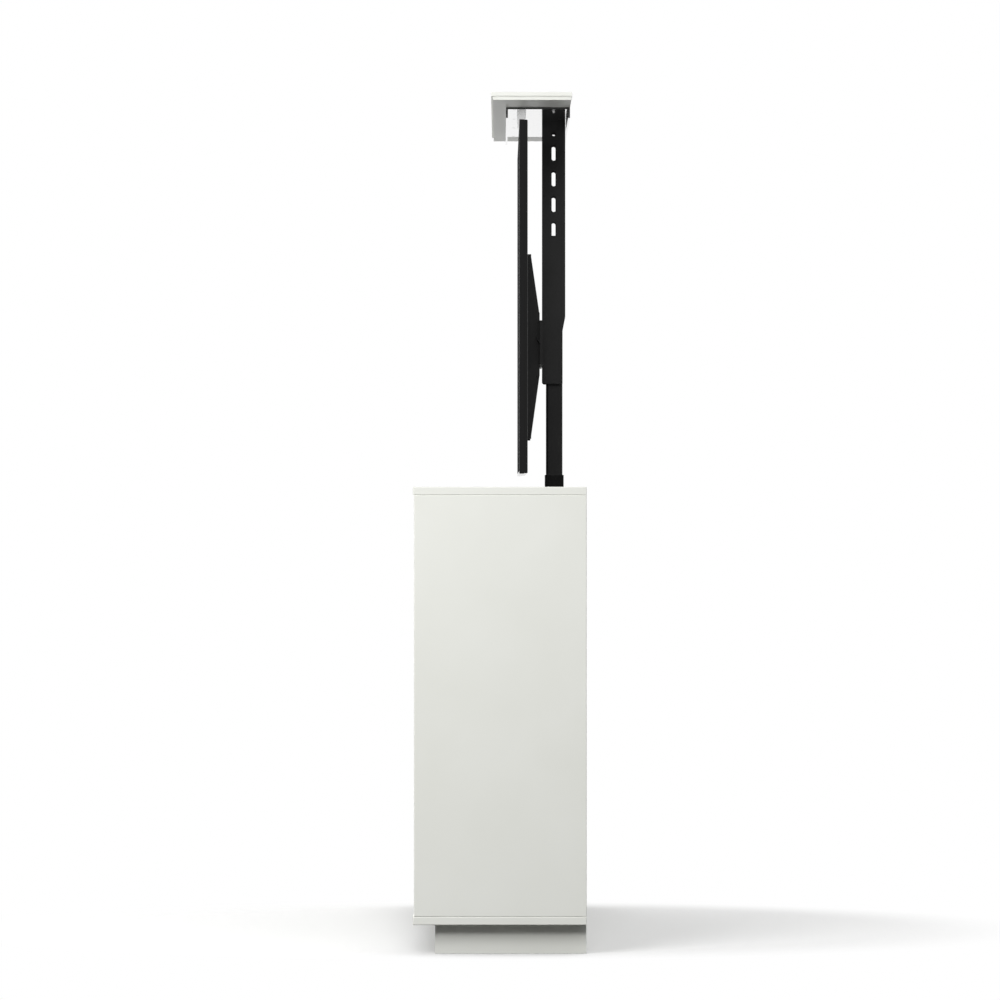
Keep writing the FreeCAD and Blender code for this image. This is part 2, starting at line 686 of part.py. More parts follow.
def plinth():
    """Four plinth boards and the cross rail under the lift."""
    half = "half_width - plinth_setback"
    face = "front + plinth_setback"
    board_flat("plinth_front", f"-({half})", face, half, f"{face} + board", "0", "plinth_height")
    board_flat("plinth_rear", f"-({half})", "rear - board", half, "rear", "0", "plinth_height")
    for label, x0, x1 in (("plinth_left", f"-({half})", f"-({half}) + board"),
                          ("plinth_right", f"{half} - board", half),
                          ("plinth_cross_rail", "-board / 2", "board / 2")):
        board_flat(label, x0, f"{face} + board", x1, "rear - board", "0", "plinth_height")


# ---------------------------------------------------------------- back

def post_centres():
    """X of the two posts behind the joints of the back panels."""
    return ("-service_width / 2", "service_width / 2")


def rail_screws():
    """Front-view places of the screws into the rear rail."""
    side = "(inner_half - service_width / 2)"
    places = [(f"{a} * (service_width / 2 + {b} * {side})", "wall_hole_z")
              for a in (-1, 1) for b in (0.12, 0.5, 0.88)]
    return places + [(f"{a} * service_width / 3", "wall_hole_z") for a in (-1, 0, 1)]


def post_screws():
    """Front-view places of the screws into the posts, one row each side of each joint."""
    rise = "(post_high - floor_top)"
    places = []
    for centre in post_centres():
        for a in (-1, 1):
            for row in range(POST_SCREW_ROWS):
                share = (row + 0.5) / POST_SCREW_ROWS
                places.append((f"{centre} + {a} * board / 4", f"floor_top + {share} * {rise}"))
    return places


def drill(body, offset, places, radius, depth=None, forwards=False):
    """Round holes in one sketch on the XZ plane."""
    holes = new_sketch(body, "XZ", offset)
    for x, z in places:
        circle(holes, x, z, radius)
    pocket(body, holes, depth, forwards)


def wall_holes():
    """Front-view places of the two wall fixing holes."""
    return [(f"{a} * wall_hole_pitch / 2", "wall_hole_z") for a in (-1, 1)]


def back_rail():
    """Rail under the top's rear strip, with the wall fixing holes."""
    body = new_body("back_rail", y="back_face")
    pad(body, rectangle(new_sketch(body, "XZ"), "-inner_half", "post_high", "inner_half",
                        "top_under"), "board")
    drill(body, "0", wall_holes(), "wall_hole_radius")
    drill(body, "0", rail_screws(), "small_screw_radius", "small_reach", forwards=True)


def back_posts():
    """Two posts between the bottom board and the rear rail."""
    for side, centre in zip(SIDES, post_centres()):
        body = new_body(f"back_post_{side}", y="back_face")
        pad(body, rectangle(new_sketch(body, "XZ"), f"{centre} - board / 2", "post_low",
                            f"{centre} + board / 2", "post_high"), "board")
        own = [spot for spot in post_screws() if spot[0].startswith(centre + " ")]
        drill(body, "0", own, "small_screw_radius", "small_reach", forwards=True)


def back_panel(label, x0, x1, places):
    """One back panel between x0 and x1, with its screw holes."""
    body = new_body(label, y="back_face")
    pad(body, rectangle(new_sketch(body, "XZ"), x0, "floor_top", x1, "top_under"),
        "back_board", backwards=True)
    drill(body, "0", places, "small_screw_radius")
    return body


def back_panels():
    """Two fixed back panels and the removable service panel between them."""
    joint = "service_width / 2 + panel_play / 2"
    end = "inner_half - panel_play"
    screws = rail_screws() + post_screws()
    for (side, sign), wall_hole in zip(SIDES.items(), wall_holes()):
        x0, x1 = (joint, end) if sign > 0 else (f"-({end})", f"-({joint})")
        own = [spot for spot in screws if number(x0) < number(spot[0]) < number(x1)]
        body = back_panel(f"back_panel_{side}", x0, x1, own)
        drill(body, "0", [wall_hole], "wall_hole_radius")
    edge = "service_width / 2 - panel_play / 2"
    own = [spot for spot in screws if abs(number(spot[0])) < number(edge)]
    body = back_panel("service_panel", f"-({edge})", edge, own)
    drill(body, "0", [("outlet_x", "outlet_z")], "outlet_outer + fit_play")
    inlet = new_sketch(body, "XZ")
    rectangle(inlet, "inlet_x - inlet_width / 2 - fit_play", "outlet_z - inlet_height / 2 - fit_play",
              "inlet_x + inlet_width / 2 + fit_play", "outlet_z + inlet_height / 2 + fit_play")
    pocket(body, inlet)
    vents = new_sketch(body, "XZ")
    for sign in SIDES.values():
        middle = f"{sign} * vent_length"
        rectangle(vents, f"{middle} - vent_length / 2", "floor_top + vent_height",
                  f"{middle} + vent_length / 2", "floor_top + vent_height + vent_width")
    slots = pocket(body, vents)
    rows = int(number("vent_count"))
    repeat(body, slots, "Z", f"vent_pitch * {rows - 1}", rows)


def back_screws():
    """Pan head screws through the back panels into the rail and posts."""
    screws = []
    for x, z in rail_screws() + post_screws():
        shank = cylinder("small_screw_radius", "back_board + small_reach", x, "panel_rear", z,
                         ALONG_FRONT)
        head = cylinder("small_head_radius", "small_head", x, "panel_rear", z, ALONG_REAR)
        screws.append(fused(shank, head))
    group("back_screws", screws)


def cable_outlet():
    """Round sleeve with a rim, for cables through the service panel."""
    body = new_body("cable_outlet", x="outlet_x", y="panel_rear", z="outlet_z")
    sleeve = circle(new_sketch(body, "XZ"), "0", "0", "outlet_outer")
    pad(body, sleeve, "back_board + outlet_past")
    flange = circle(new_sketch(body, "XZ"), "0", "0", "outlet_outer + outlet_rim")
    pad(body, flange, "outlet_rim_depth", backwards=True)
    pocket(body, circle(new_sketch(body, "XZ"), "0", "0", "outlet_bore"))


def power_inlet():
    """Three-pin mains inlet: a body with a flange, a socket and three blades."""
    body = new_body("power_inlet", x="inlet_x", y="panel_rear", z="outlet_z")

    def rectangular(name_sketch, grow):
        return rectangle(name_sketch, f"-(inlet_width / 2 + {grow})", f"-(inlet_height / 2 + {grow})",
                         f"inlet_width / 2 + {grow}", f"inlet_height / 2 + {grow}")

    pad(body, rectangular(new_sketch(body, "XZ"), "0"), "inlet_depth")
    pad(body, rectangular(new_sketch(body, "XZ"), "inlet_flange"), "inlet_flange_depth",
        backwards=True)
    socket = rectangular(new_sketch(body, "XZ", "-inlet_flange_depth"), "(-inlet_wall)")
    for x, z in ((-7, -3), (7, -3), (0, 3)):
        rectangle(socket, f"{x} - 1", f"{z} - 2", f"{x} + 1", f"{z} + 2")
    pocket(body, socket, "inlet_socket", forwards=True)


# ---------------------------------------------------------------- doors and latches

def door(index, hinge_side, pivot_x):
    """Inset door with a pivot bore at both ends of its hinge edge."""
    body = new_body(f"door_{index}", z="door_low")
    hinge_edge = f"{pivot_x} + {hinge_side} * pivot_inset"
    free_edge = f"{hinge_edge} - {hinge_side} * door_width"
    x0, x1 = (hinge_edge, free_edge) if hinge_side < 0 else (free_edge, hinge_edge)
    pad(body, rectangle(new_sketch(body, "XY"), x0, "carcass_front", x1, "door_back"),
        "door_high - door_low")
    soften(body, "edge_round / 2", rim(body, "Y", -1))
    pocket(body, circle(new_sketch(body, "XY"), pivot_x, "pivot_y", "pin_bore"),
           "pin_reach", forwards=True)
    top = circle(new_sketch(body, "XY", "door_high - door_low"), pivot_x, "pivot_y", "pin_bore")
    pocket(body, top, "pin_reach")


def door_pivot_pins():
    """Collared pivot pins, one at each end of each door."""
    length = "pin_seat + door_gap + pin_reach - collar_gap"
    collar = "door_gap - 2 * collar_gap"
    pins = []
    for _, _, x in pivots():
        low = cylinder("pin_radius", length, x, "pivot_y", "floor_top - pin_seat")
        low_collar = cylinder("collar_radius", collar, x, "pivot_y", "floor_top + collar_gap")
        high = cylinder("pin_radius", length, x, "pivot_y",
                        f"top_under + pin_seat - ({length})")
        high_collar = cylinder("collar_radius", collar, x, "pivot_y", "door_high + collar_gap")
        pins += [fused(low, low_collar), fused(high, high_collar)]
    group("door_pivot_pins", pins)


def latches():
    """X of each door's push latch, near the door's free edge."""
    return [
        (index, f"{x} + {side} * (pivot_inset - door_width + latch_inset)")
        for index, side, x in pivots()
    ]


def latch_housings():
    """Push latch housings under the top board, each with a bore for its plunger."""
    housings = []
    for _, x in latches():
        block = doc.addObject("Part::Box", "latch_block")
        bind(block, Length="latch_width", Width="latch_depth", Height="latch_height")
        place(block, f"{x} - latch_width / 2", "latch_front", "top_under - latch_height")
        bore = cylinder("plunger_bore", "latch_bore", x, "latch_front", "latch_z", ALONG_REAR)
        housing = doc.addObject("Part::Cut", "latch_housing")
        housing.Base, housing.Tool = block, bore
        housings.append(housing)
    group("latch_housings", housings)


def latch_plunger(index, x):
    """Sprung plunger with a magnet head behind the door."""
    body = new_body(f"latch_plunger_{index}", x=x, y="door_back + plunger_gap", z="latch_z")
    head = circle(new_sketch(body, "XZ"), "0", "0", "plunger_head_radius")
    pad(body, head, "plunger_head", backwards=True)
    rod = circle(new_sketch(body, "XZ", "-plunger_head"), "0", "0", "plunger_radius")
    pad(body, rod, "latch_gap - plunger_gap - plunger_head + plunger_reach", backwards=True)
    soften(body, "plunger_head / 4", lambda middle, edge: near(middle.y, 0) and edge.Closed)


# ---------------------------------------------------------------- lift column

def lift_base_plate():
    """Steel plate that stands the column on the bottom board."""
    body = board_flat("lift_base_plate", "-base_width / 2", "column_y - base_depth / 2",
                      "base_width / 2", "column_y + base_depth / 2", "floor_top", "base_plate")
    soften(body, "base_bolt_inset / 2", along("Z"))
    holes = new_sketch(body, "XY")
    for x, y in base_bolts():
        circle(holes, x, y, "bolt_radius")
    pocket(body, holes)


def base_plate_bolts():
    """Hexagon bolts through the base plate."""
    bolts = []
    for x, y in base_bolts():
        head = doc.addObject("Part::Prism", "bolt_head")
        bind(head, Circumradius="bolt_head_radius", Height="bolt_head")
        place(head, x, y, "foot")
        shank = cylinder("bolt_radius", "base_plate + bolt_reach", x, y, "floor_top - bolt_reach")
        bolts.append(fused(head, shank))
    group("base_plate_bolts", bolts)


def tube(label, width, depth, bottom, top, lift="0"):
    """One rectangular tube of the column with rounded corners."""
    body = new_body(label, y="column_y", z=f"{bottom} + {lift}")
    outer = rectangle(new_sketch(body, "XY"), f"-{width} / 2", f"-{depth} / 2",
                      f"{width} / 2", f"{depth} / 2")
    pad(body, outer, f"{top} - {bottom}")
    soften(body, "tube_round", along("Z"))
    bore = rectangle(new_sketch(body, "XY"), f"-({width} / 2 - tube_wall)",
                     f"-({depth} / 2 - tube_wall)", f"{width} / 2 - tube_wall",
                     f"{depth} / 2 - tube_wall")
    pocket(body, bore)
    inner_half = number(f"{width} / 2 - tube_wall")
    soften(body, "tube_round - tube_wall", lambda middle, edge: along("Z")(middle, edge)
           and near(abs(middle.x), inner_half)
           and near(abs(middle.y), number(f"{depth} / 2 - tube_wall")))
    return body


def outer_tube():
    """Fixed tube, with a window for the gearbox neck."""
    body = tube("outer_tube", "outer_width", "outer_depth", "foot", "outer_top")
    reach = "neck_radius + neck_play"
    window = new_sketch(body, "YZ", "outer_width / 2")
    rectangle(window, f"-({reach})", "0", reach, f"motor_z - foot + {reach}")
    pocket(body, window, "tube_wall * 2")


def gearbox():
    """Worm gearbox in the column's foot; its bearing carries the lower spindle."""
    body = new_body("gearbox", y="column_y", z="foot")
    half_x = "outer_width / 2 - tube_wall - gear_play"
    half_y = "outer_depth / 2 - tube_wall - gear_play"
    block = rectangle(new_sketch(body, "XY"), f"-({half_x})", f"-({half_y})", half_x, half_y)
    pad(body, block, "gear_height")
    soften(body, "tube_round - tube_wall", along("Z"))
    bearing = circle(new_sketch(body, "XY", "gear_height"), "0", "0", "bearing_bore")
    pocket(body, bearing, "gear_bore_depth + spindle_play")
    neck = circle(new_sketch(body, "YZ", half_x), "0", "motor_z - foot", "neck_radius")
    pad(body, neck, "tube_wall + gear_play + motor_gap")


def drive_motor():
    """Motor can on the gearbox neck."""
    body = new_body("drive_motor", x="outer_width / 2 + motor_gap", y="column_y", z="motor_z")
    pad(body, circle(new_sketch(body, "YZ"), "0", "0", "motor_radius"), "motor_length")
    soften(body, "motor_radius / 8", lambda middle, edge: edge.Closed and middle.x > 1)
    cap = circle(new_sketch(body, "YZ", "motor_length"), "0", "0", "neck_radius")
    pad(body, cap, "motor_gap / 3")


def lower_spindle():
    """Spindle in the gearbox bearing; the middle tube's nut rides on it."""
    body = new_body("lower_spindle", y="column_y", z="spindle_bottom")
    pad(body, circle(new_sketch(body, "XY"), "0", "0", "spindle_radius"),
        "spindle_top - spindle_bottom")
    soften(body, "spindle_radius / 4", lambda middle, edge: edge.Closed, kind="Chamfer")


def nut_block(label, width, depth, bottom, lift):
    """Plastic block that fills the foot of a moving tube, without its bore."""
    body = new_body(label, y="column_y", z=f"{bottom} + {lift}")
    half_x = f"{width} / 2 - tube_wall - block_play"
    half_y = f"{depth} / 2 - tube_wall - block_play"
    pad(body, rectangle(new_sketch(body, "XY"), f"-({half_x})", f"-({half_y})", half_x, half_y),
        "end_block")
    soften(body, "tube_round - tube_wall", along("Z"))
    return body


def middle_stage():
    """Middle tube, with the nut block that also carries the upper spindle."""
    tube("middle_tube", "middle_width", "middle_depth", "middle_bottom", "middle_top",
         "stage_travel")
    body = nut_block("middle_nut_block", "middle_width", "middle_depth", "middle_bottom",
                     "stage_travel")
    pocket(body, circle(new_sketch(body, "XY"), "0", "0", "bearing_bore"))
    seat = circle(new_sketch(body, "XY", "end_block"), "0", "0", "foot_bore")
    pocket(body, seat, "end_block / 2")


def upper_spindle():
    """Hollow spindle that turns in the middle tube's nut block."""
    body = new_body("upper_spindle", y="column_y", z="sleeve_bottom + stage_travel + spindle_play")
    pad(body, circle(new_sketch(body, "XY"), "0", "0", "sleeve_radius"),
        "sleeve_top - sleeve_bottom - spindle_play")
    pad(body, circle(new_sketch(body, "XY"), "0", "0", "sleeve_foot_radius"), "sleeve_foot")
    pocket(body, circle(new_sketch(body, "XY"), "0", "0", "sleeve_bore"))


def inner_stage():
    """Inner tube, with the nut block that rides on the upper spindle."""
    body = tube("inner_tube", "tube_width", "tube_depth", "inner_bottom", "inner_top",
                "lift_total")
    holes = new_sketch(body, "XZ", "tube_depth / 2")
    for x, z in riser_screw_places():
        circle(holes, x, f"{z} - inner_bottom", "screw_radius")
    pocket(body, holes, "tube_wall * 2")
    block = nut_block("inner_nut_block", "tube_width", "tube_depth", "inner_bottom", "lift_total")
    pocket(block, circle(new_sketch(block, "XY"), "0", "0", "nut_bore"))


# ---------------------------------------------------------------- riser, channel and lid

def riser_screw_places():
    """Front-view places of the screws from the riser into the inner tube."""
    return [(f"{a} * bracket_screw_x", f"{z}") for a in (-1, 1)
            for z in ("spacer_bottom + bracket_screw_inset", "spacer_top - bracket_screw_inset")]


def mount_screw_places():
    """Front-view places of the screws from the mounting plate into the riser."""
    return [(f"{a} * bracket_screw_x", z) for a in (-1, 1)
            for z in ("mount_low + bracket_screw_inset",
                      "mount_low + mount_height - bracket_screw_inset")]


def riser_bracket():
    """U bracket over the column, with slots in both flanges and a folded top."""
    body = new_body("riser_bracket", x="-riser_width / 2", z="lift_total")
    wide_end, taper_end = "riser_top - riser_wide_end", "riser_top - riser_taper_end"
    side = outline(new_sketch(body, "YZ"), (
        ("riser_front", "riser_bottom"),
        ("riser_rear - riser_taper", "riser_bottom"),
        ("riser_rear - riser_taper", taper_end),
        ("riser_rear", wide_end),
        ("riser_rear", "riser_top"),
        ("riser_front", "riser_top"),
    ))
    pad(body, side, "riser_width")
    corner = (number("riser_front"), number("riser_bottom"))
    soften(body, "riser_round", lambda middle, edge: along("X")(middle, edge)
           and near(middle.y, corner[0]) and near(middle.z, corner[1]))
    hollow = rectangle(new_sketch(body, "YZ", "riser_sheet"), "web_inner", "riser_bottom - 1",
                       "riser_rear + 1", "riser_top - riser_sheet")
    pocket(body, hollow, "riser_width - 2 * riser_sheet", forwards=True)
    sight = circle(new_sketch(body, "YZ"), "riser_middle", "riser_top - sight_hole_drop",
                   "slot_width / 2")
    pocket(body, sight)
    riser_slots(body)
    web = new_sketch(body, "XZ", "-riser_front")
    for x, z in riser_screw_places() + mount_screw_places():
        circle(web, f"{x} + riser_width / 2", z, "screw_radius")
    pocket(body, web, "riser_sheet")
    countersink(body, BRACKET_SCREW, "XZ", "riser_front", riser_screw_places(),
                "riser_width / 2")
    cap = new_sketch(body, "XY", "riser_top")
    for x, y in riser_cap_screws():
        circle(cap, f"{x} + riser_width / 2", y, "small_screw_radius")
    pocket(body, cap, "riser_sheet")
    countersink(body, LID_SCREW, "XY", "riser_top - riser_sheet", riser_cap_screws(),
                "riser_width / 2")


def round_slot(body, plane, centre, low, length, width):
    """Sketch of an upright slot with round ends, from its lower end up."""
    low, high = f"{low} + {width} / 2", f"{low} + {length} - {width} / 2"
    left, right = f"{centre} - {width} / 2", f"{centre} + {width} / 2"
    slot = new_sketch(body, plane)
    centre_x, radius = number(centre), number(f"{width} / 2")
    low_z, high_z = number(low), number(high)
    up = Vector(0, 0, 1)
    half_turn = 3.141592653589793
    slot.addGeometry(Part.LineSegment(Vector(centre_x + radius, low_z, 0),
                                      Vector(centre_x + radius, high_z, 0)), False)
    slot.addGeometry(Part.ArcOfCircle(Part.Circle(Vector(centre_x, high_z, 0), up, radius),
                                      0, half_turn), False)
    slot.addGeometry(Part.LineSegment(Vector(centre_x - radius, high_z, 0),
                                      Vector(centre_x - radius, low_z, 0)), False)
    slot.addGeometry(Part.ArcOfCircle(Part.Circle(Vector(centre_x, low_z, 0), up, radius),
                                      half_turn, 2 * half_turn), False)
    for line, end, x, y in ((0, 1, right, low), (0, 2, right, high),
                            (2, 1, left, high), (2, 2, left, low)):
        pin_point(slot, line, end, x, y)
    for first, first_end, second, second_end in ((0, 2, 1, 1), (1, 2, 2, 1), (2, 2, 3, 1),
                                                 (3, 2, 0, 1)):
        slot.addConstraint(Sketcher.Constraint("Coincident", first, first_end, second, second_end))
    for arc, y in ((1, high), (3, low)):
        index = slot.addConstraint(Sketcher.Constraint("DistanceY", -1, 1, arc, 3, number(y)))
        slot.setExpression(f"Constraints[{index}]", bound(y))
    return slot


def riser_slots(body):
    """Cut four upright slots through both flanges of the riser."""
    low = "riser_top - slot_first - 3 * slot_pitch - slot_length / 2"
    lowest = round_slot(body, "YZ", "riser_middle", low, "slot_length", "slot_width")
    repeat(body, pocket(body, lowest), "Z", "3 * slot_pitch", 4)


def mount_slots(body):
    """Cut two rows of upright slots into both ends of the mounting plate."""
    run = "2 * mount_slot_pitch"
    for first in ("-mount_slot_end", f"mount_slot_end - {run}"):
        for low in ("mount_slot_inset", "mount_height - mount_slot_inset - mount_slot_length"):
            slot = round_slot(body, "XZ", first, low, "mount_slot_length", "mount_slot_width")
            repeat(body, pocket(body, slot), "X", run, 3)


def riser_spacer():
    """Block between the riser's web and the inner tube."""
    body = new_body("riser_spacer", y="web_inner", z="lift_total")
    pad(body, rectangle(new_sketch(body, "XZ"), "-spacer_width / 2", "spacer_bottom",
                        "spacer_width / 2", "spacer_top"),
        "column_y - tube_depth / 2 - web_inner", backwards=True)
    drill(body, "0", riser_screw_places(), "screw_radius")


# Head radius, screw radius and head depth of the two kinds of countersunk screw.
BRACKET_SCREW = ("screw_head_radius", "screw_radius", "screw_head")
LID_SCREW = ("lid_head_radius", "small_screw_radius", "lid_head")


def countersunk(kind, x, y, z, length, turn=None):
    """One countersunk screw from its flush head; it runs up unless it is turned."""
    wide, narrow, depth = kind
    head = doc.addObject("Part::Cone", "screw_head")
    bind(head, Radius1=wide, Radius2=narrow, Height=depth)
    place(head, x, y, z, turn)
    return fused(head, cylinder(narrow, length, x, y, z, turn))


def countersink(body, kind, plane, face, places, shift="0"):
    """Cut the seats of countersunk heads into a front face (XZ) or an underside (XY)."""
    wide, narrow, depth = kind
    turn, sign = (180, "-") if plane == "XZ" else (0, "")
    for across, up in places:
        seat = body.newObject("PartDesign::SubtractiveCone", f"{body.Name}_countersink")
        seat.AttachmentSupport = [(origin_feature(body, f"{plane}_Plane"), "")]
        seat.MapMode = "FlatFace"
        seat.AttachmentOffset = Placement(Vector(), Rotation(Vector(1, 0, 0), turn))
        bind(seat, Radius1=wide, Radius2=narrow, Height=depth)
        for axis, value in (("x", f"{across} + {shift}"), ("y", up), ("z", f"{sign}({face})")):
            seat.setExpression(f"AttachmentOffset.Base.{axis}", bound(value))
        doc.recompute()


def bracket_screws():
    """Countersunk screws of the mounting plate and of the riser."""
    reach = "mount_depth + riser_sheet"
    screws = [countersunk(BRACKET_SCREW, x, "mount_front", f"{z} + lift_total", reach,
                          ALONG_REAR)
              for x, z in mount_screw_places()]
    reach = "column_y - tube_depth / 2 + tube_wall - riser_front"
    screws += [countersunk(BRACKET_SCREW, x, "riser_front", f"{z} + lift_total", reach,
                           ALONG_REAR)
               for x, z in riser_screw_places()]
    group("bracket_screws", screws)


def lid_screw_places():
    """Plan places of the screws from the channel into the lid."""
    count = int(number("lid_screw_count"))
    run = "(channel_length - 2 * lid_screw_inset)"
    return [(f"-{run} / 2 + {index} * {run} / {count - 1}", y)
            for index in range(count)
            for y in ("channel_front + lid_screw_inset", "plug_rear - lid_screw_inset")]


def riser_cap_screws():
    """Plan places of the screws through the riser's folded top."""
    return [(f"{a} * riser_width / 4", f"riser_middle + {b} * riser_width / 6")
            for a in (-1, 1) for b in (-1, 1)]


def lid_channel():
    """Sheet channel that carries the lid, open below."""
    body = new_body("lid_channel", x="-channel_length / 2", z="lift_total")
    side = outline(new_sketch(body, "YZ"), (
        ("channel_front", "plug_under - channel_leg"),
        ("channel_front + channel_sheet", "plug_under - channel_leg"),
        ("channel_front + channel_sheet", "riser_top"),
        ("plug_rear - channel_sheet", "riser_top"),
        ("plug_rear - channel_sheet", "plug_under - channel_leg"),
        ("plug_rear", "plug_under - channel_leg"),
        ("plug_rear", "plug_under"),
        ("channel_front", "plug_under"),
    ))
    pad(body, side, "channel_length")
    holes = new_sketch(body, "XY", "plug_under")
    for x, y in lid_screw_places() + riser_cap_screws():
        circle(holes, f"{x} + channel_length / 2", y, "small_screw_radius")
    pocket(body, holes, "channel_sheet")
    countersink(body, LID_SCREW, "XY", "riser_top", lid_screw_places(), "channel_length / 2")


def lid_panel():
    """Piece of the top that rides on the channel: a plug with a lip."""
    body = new_body("lid_panel", z="plug_under + lift_total")
    plug = rectangle(new_sketch(body, "XY"), "-plug_half", "plug_front", "plug_half", "plug_rear")
    pad(body, plug, "lid_thickness")
    lip = rectangle(new_sketch(body, "XY", "lid_thickness - lid_lip"), "-lid_width / 2",
                    "lid_front", "lid_width / 2", "lid_rear")
    pad(body, lip, "lid_lip")
    soften(body, "edge_round / 2", rim(body, "Z", 1))
    pilots = new_sketch(body, "XY")
    for x, y in lid_screw_places() + riser_cap_screws():
        circle(pilots, x, y, "small_screw_radius")
    pocket(body, pilots, "small_reach", forwards=True)


def lid_screws():
    """Countersunk screws from below into the lid."""
    screws = []
    for places, under in ((lid_screw_places(), "riser_top"),
                          (riser_cap_screws(), "(riser_top - riser_sheet)")):
        screws += [countersunk(LID_SCREW, x, y, f"{under} + lift_total",
                               f"plug_under + small_reach - {under}")
                   for x, y in places]
    group("lid_screws", screws)


# ---------------------------------------------------------------- television and its mount

def mount_plate():
    """Slotted tray with folded edges, a hook rail in front and four pressed bosses."""
    body = new_body("mount_plate", y="mount_front", z="mount_low + lift_total")
    half = "mount_width / 2"
    tray = rectangle(new_sketch(body, "XZ"), f"-{half}", "0", half, "mount_height")
    pad(body, tray, "mount_depth", backwards=True)
    hollow = rectangle(new_sketch(body, "XZ", "-mount_depth"), f"-({half} - mount_sheet)",
                       "mount_sheet", f"{half} - mount_sheet", "mount_height - mount_sheet")
    for x, z in mount_screw_places():
        circle(hollow, x, f"{z} - mount_low", "mount_boss")
    pocket(body, hollow, "mount_depth - mount_sheet", forwards=True)
    root = "arm_low + hook_height - mount_low + (hook_width - hook_rail) / 2"
    tip = f"{root} + hook_rise * hook_reach / hook_depth"
    rail = outline(new_sketch(body, "YZ", f"-{half}"), (
        ("0", root),
        ("0", f"{root} + hook_rail"),
        ("-hook_reach", f"{tip} + hook_rail"),
        ("-hook_reach", tip),
    ))
    pad(body, rail, "mount_width")
    holes = new_sketch(body, "XZ")
    for x, z in mount_screw_places():
        circle(holes, x, f"{z} - mount_low", "screw_radius")
    pocket(body, holes)
    mount_slots(body)
    countersink(body, BRACKET_SCREW, "XZ", "0",
                [(x, f"{z} - mount_low") for x, z in mount_screw_places()])


def tv_screw_places(sign):
    """Front-view places of one arm's two screws."""
    return [(f"{sign} * vesa_pitch / 2", z) for z in ("vesa_low", "vesa_low + vesa_pitch")]


def mount_arm(side, sign):
    """Arm of folded sheet: a base on the television and two slotted legs on the rail."""
    body = new_body(f"mount_arm_{side}", x=f"{sign} * vesa_pitch / 2 - arm_width / 2",
                    z="lift_total")
    high = "arm_low + arm_length"
    tip, shoulder = "tv_back + arm_tip_depth", "mount_front - arm_step"
    mouth = "arm_low + hook_height"
    profile = outline(new_sketch(body, "YZ"), (
        ("tv_back", "arm_low"),
        (tip, "arm_low"),
        (tip, "arm_low + arm_tip"),
        ("mount_front - arm_low_step", "arm_low + arm_flat_low"),
        ("mount_front", "arm_low + arm_flat_low"),
        ("mount_front", mouth),
        ("mount_front - hook_depth", f"{mouth} + hook_rise"),
        ("mount_front - hook_depth", f"{mouth} + hook_rise + hook_width"),
        ("mount_front", f"{mouth} + hook_width"),
        ("mount_front", "arm_low + arm_flat_high"),
        (shoulder, "arm_low + arm_flat_high"),
        (tip, f"{high} - arm_tip"),
        (tip, high),
        ("tv_back", high),
    ))
    pad(body, profile, "arm_width")
    hollow = rectangle(new_sketch(body, "YZ", "arm_sheet"), "tv_back + arm_sheet", "arm_low - 1",
                       "mount_front + 1", f"{high} + 1")
    pocket(body, hollow, "arm_width - 2 * arm_sheet", forwards=True)
    low_end, lock = "mount_front - lock_back", "arm_low + lock_low"
    pocket(body, outline(new_sketch(body, "YZ"), (
        (f"{low_end} - lock_width", lock),
        (low_end, lock),
        (f"{low_end} - lock_slant", f"{lock} + lock_height"),
        (f"{low_end} - lock_slant - lock_width", f"{lock} + lock_height"),
    )))
    holes = new_sketch(body, "XZ", "-tv_back")
    for _, z in tv_screw_places(sign):
        circle(holes, "arm_width / 2", z, "tv_screw_radius")
    pocket(body, holes, "arm_sheet")


def tv_screws():
    """Pan head screws from the arms into the television."""
    screws = []
    for sign in SIDES.values():
        for x, z in tv_screw_places(sign):
            height = f"{z} + lift_total"
            shank = cylinder("tv_screw_radius", "arm_sheet + tv_screw_reach", x,
                             "tv_back + arm_sheet", height, ALONG_FRONT)
            head = cylinder("tv_screw_head_radius", "tv_screw_head", x, "tv_back + arm_sheet",
                            height, ALONG_REAR)
            screws.append(fused(shank, head))
    group("tv_screws", screws)


def tv_rectangle(body, inset, offset="0"):
    """Front-view rectangle inside the television's outline."""
    return rectangle(new_sketch(body, "XZ", offset), f"-(tv_width / 2 - {inset})",
                     f"tv_bottom + {inset}", f"tv_width / 2 - {inset}", f"tv_top - {inset}")


def television():
    """Rim, screen module and rear cover."""
    rim_body = new_body("tv_frame", y="tv_front", z="lift_total")
    pad(rim_body, tv_rectangle(rim_body, "0"), "tv_frame_depth", backwards=True)
    soften(rim_body, "edge_round / 2", either(along("Y"), rim(rim_body, "Y", -1)))
    pocket(rim_body, tv_rectangle(rim_body, "tv_frame_wall"))

    screen = new_body("tv_screen", y="tv_front + tv_screen_inset", z="lift_total")
    pad(screen, tv_rectangle(screen, "(tv_frame_wall + tv_play)"), "tv_screen_depth",
        backwards=True)

    cover = new_body("tv_rear_cover", y="tv_front + tv_frame_depth", z="lift_total")
    depth = "tv_thickness - tv_frame_depth"
    pad(cover, tv_rectangle(cover, "edge_round / 2"), depth, backwards=True)
    soften(cover, "edge_round", rim(cover, "Y", 1))
    hollow = tv_rectangle(cover, "(tv_frame_wall + tv_shell)")
    for sign in SIDES.values():
        for x, z in tv_screw_places(sign):
            circle(hollow, x, z, "boss_radius")
    pocket(cover, hollow, f"{depth} - tv_shell")
    spots = [spot for sign in SIDES.values() for spot in tv_screw_places(sign)]
    drill(cover, f"-({depth})", spots, "tv_screw_radius", "tv_screw_reach", forwards=True)


# ---------------------------------------------------------------- controls

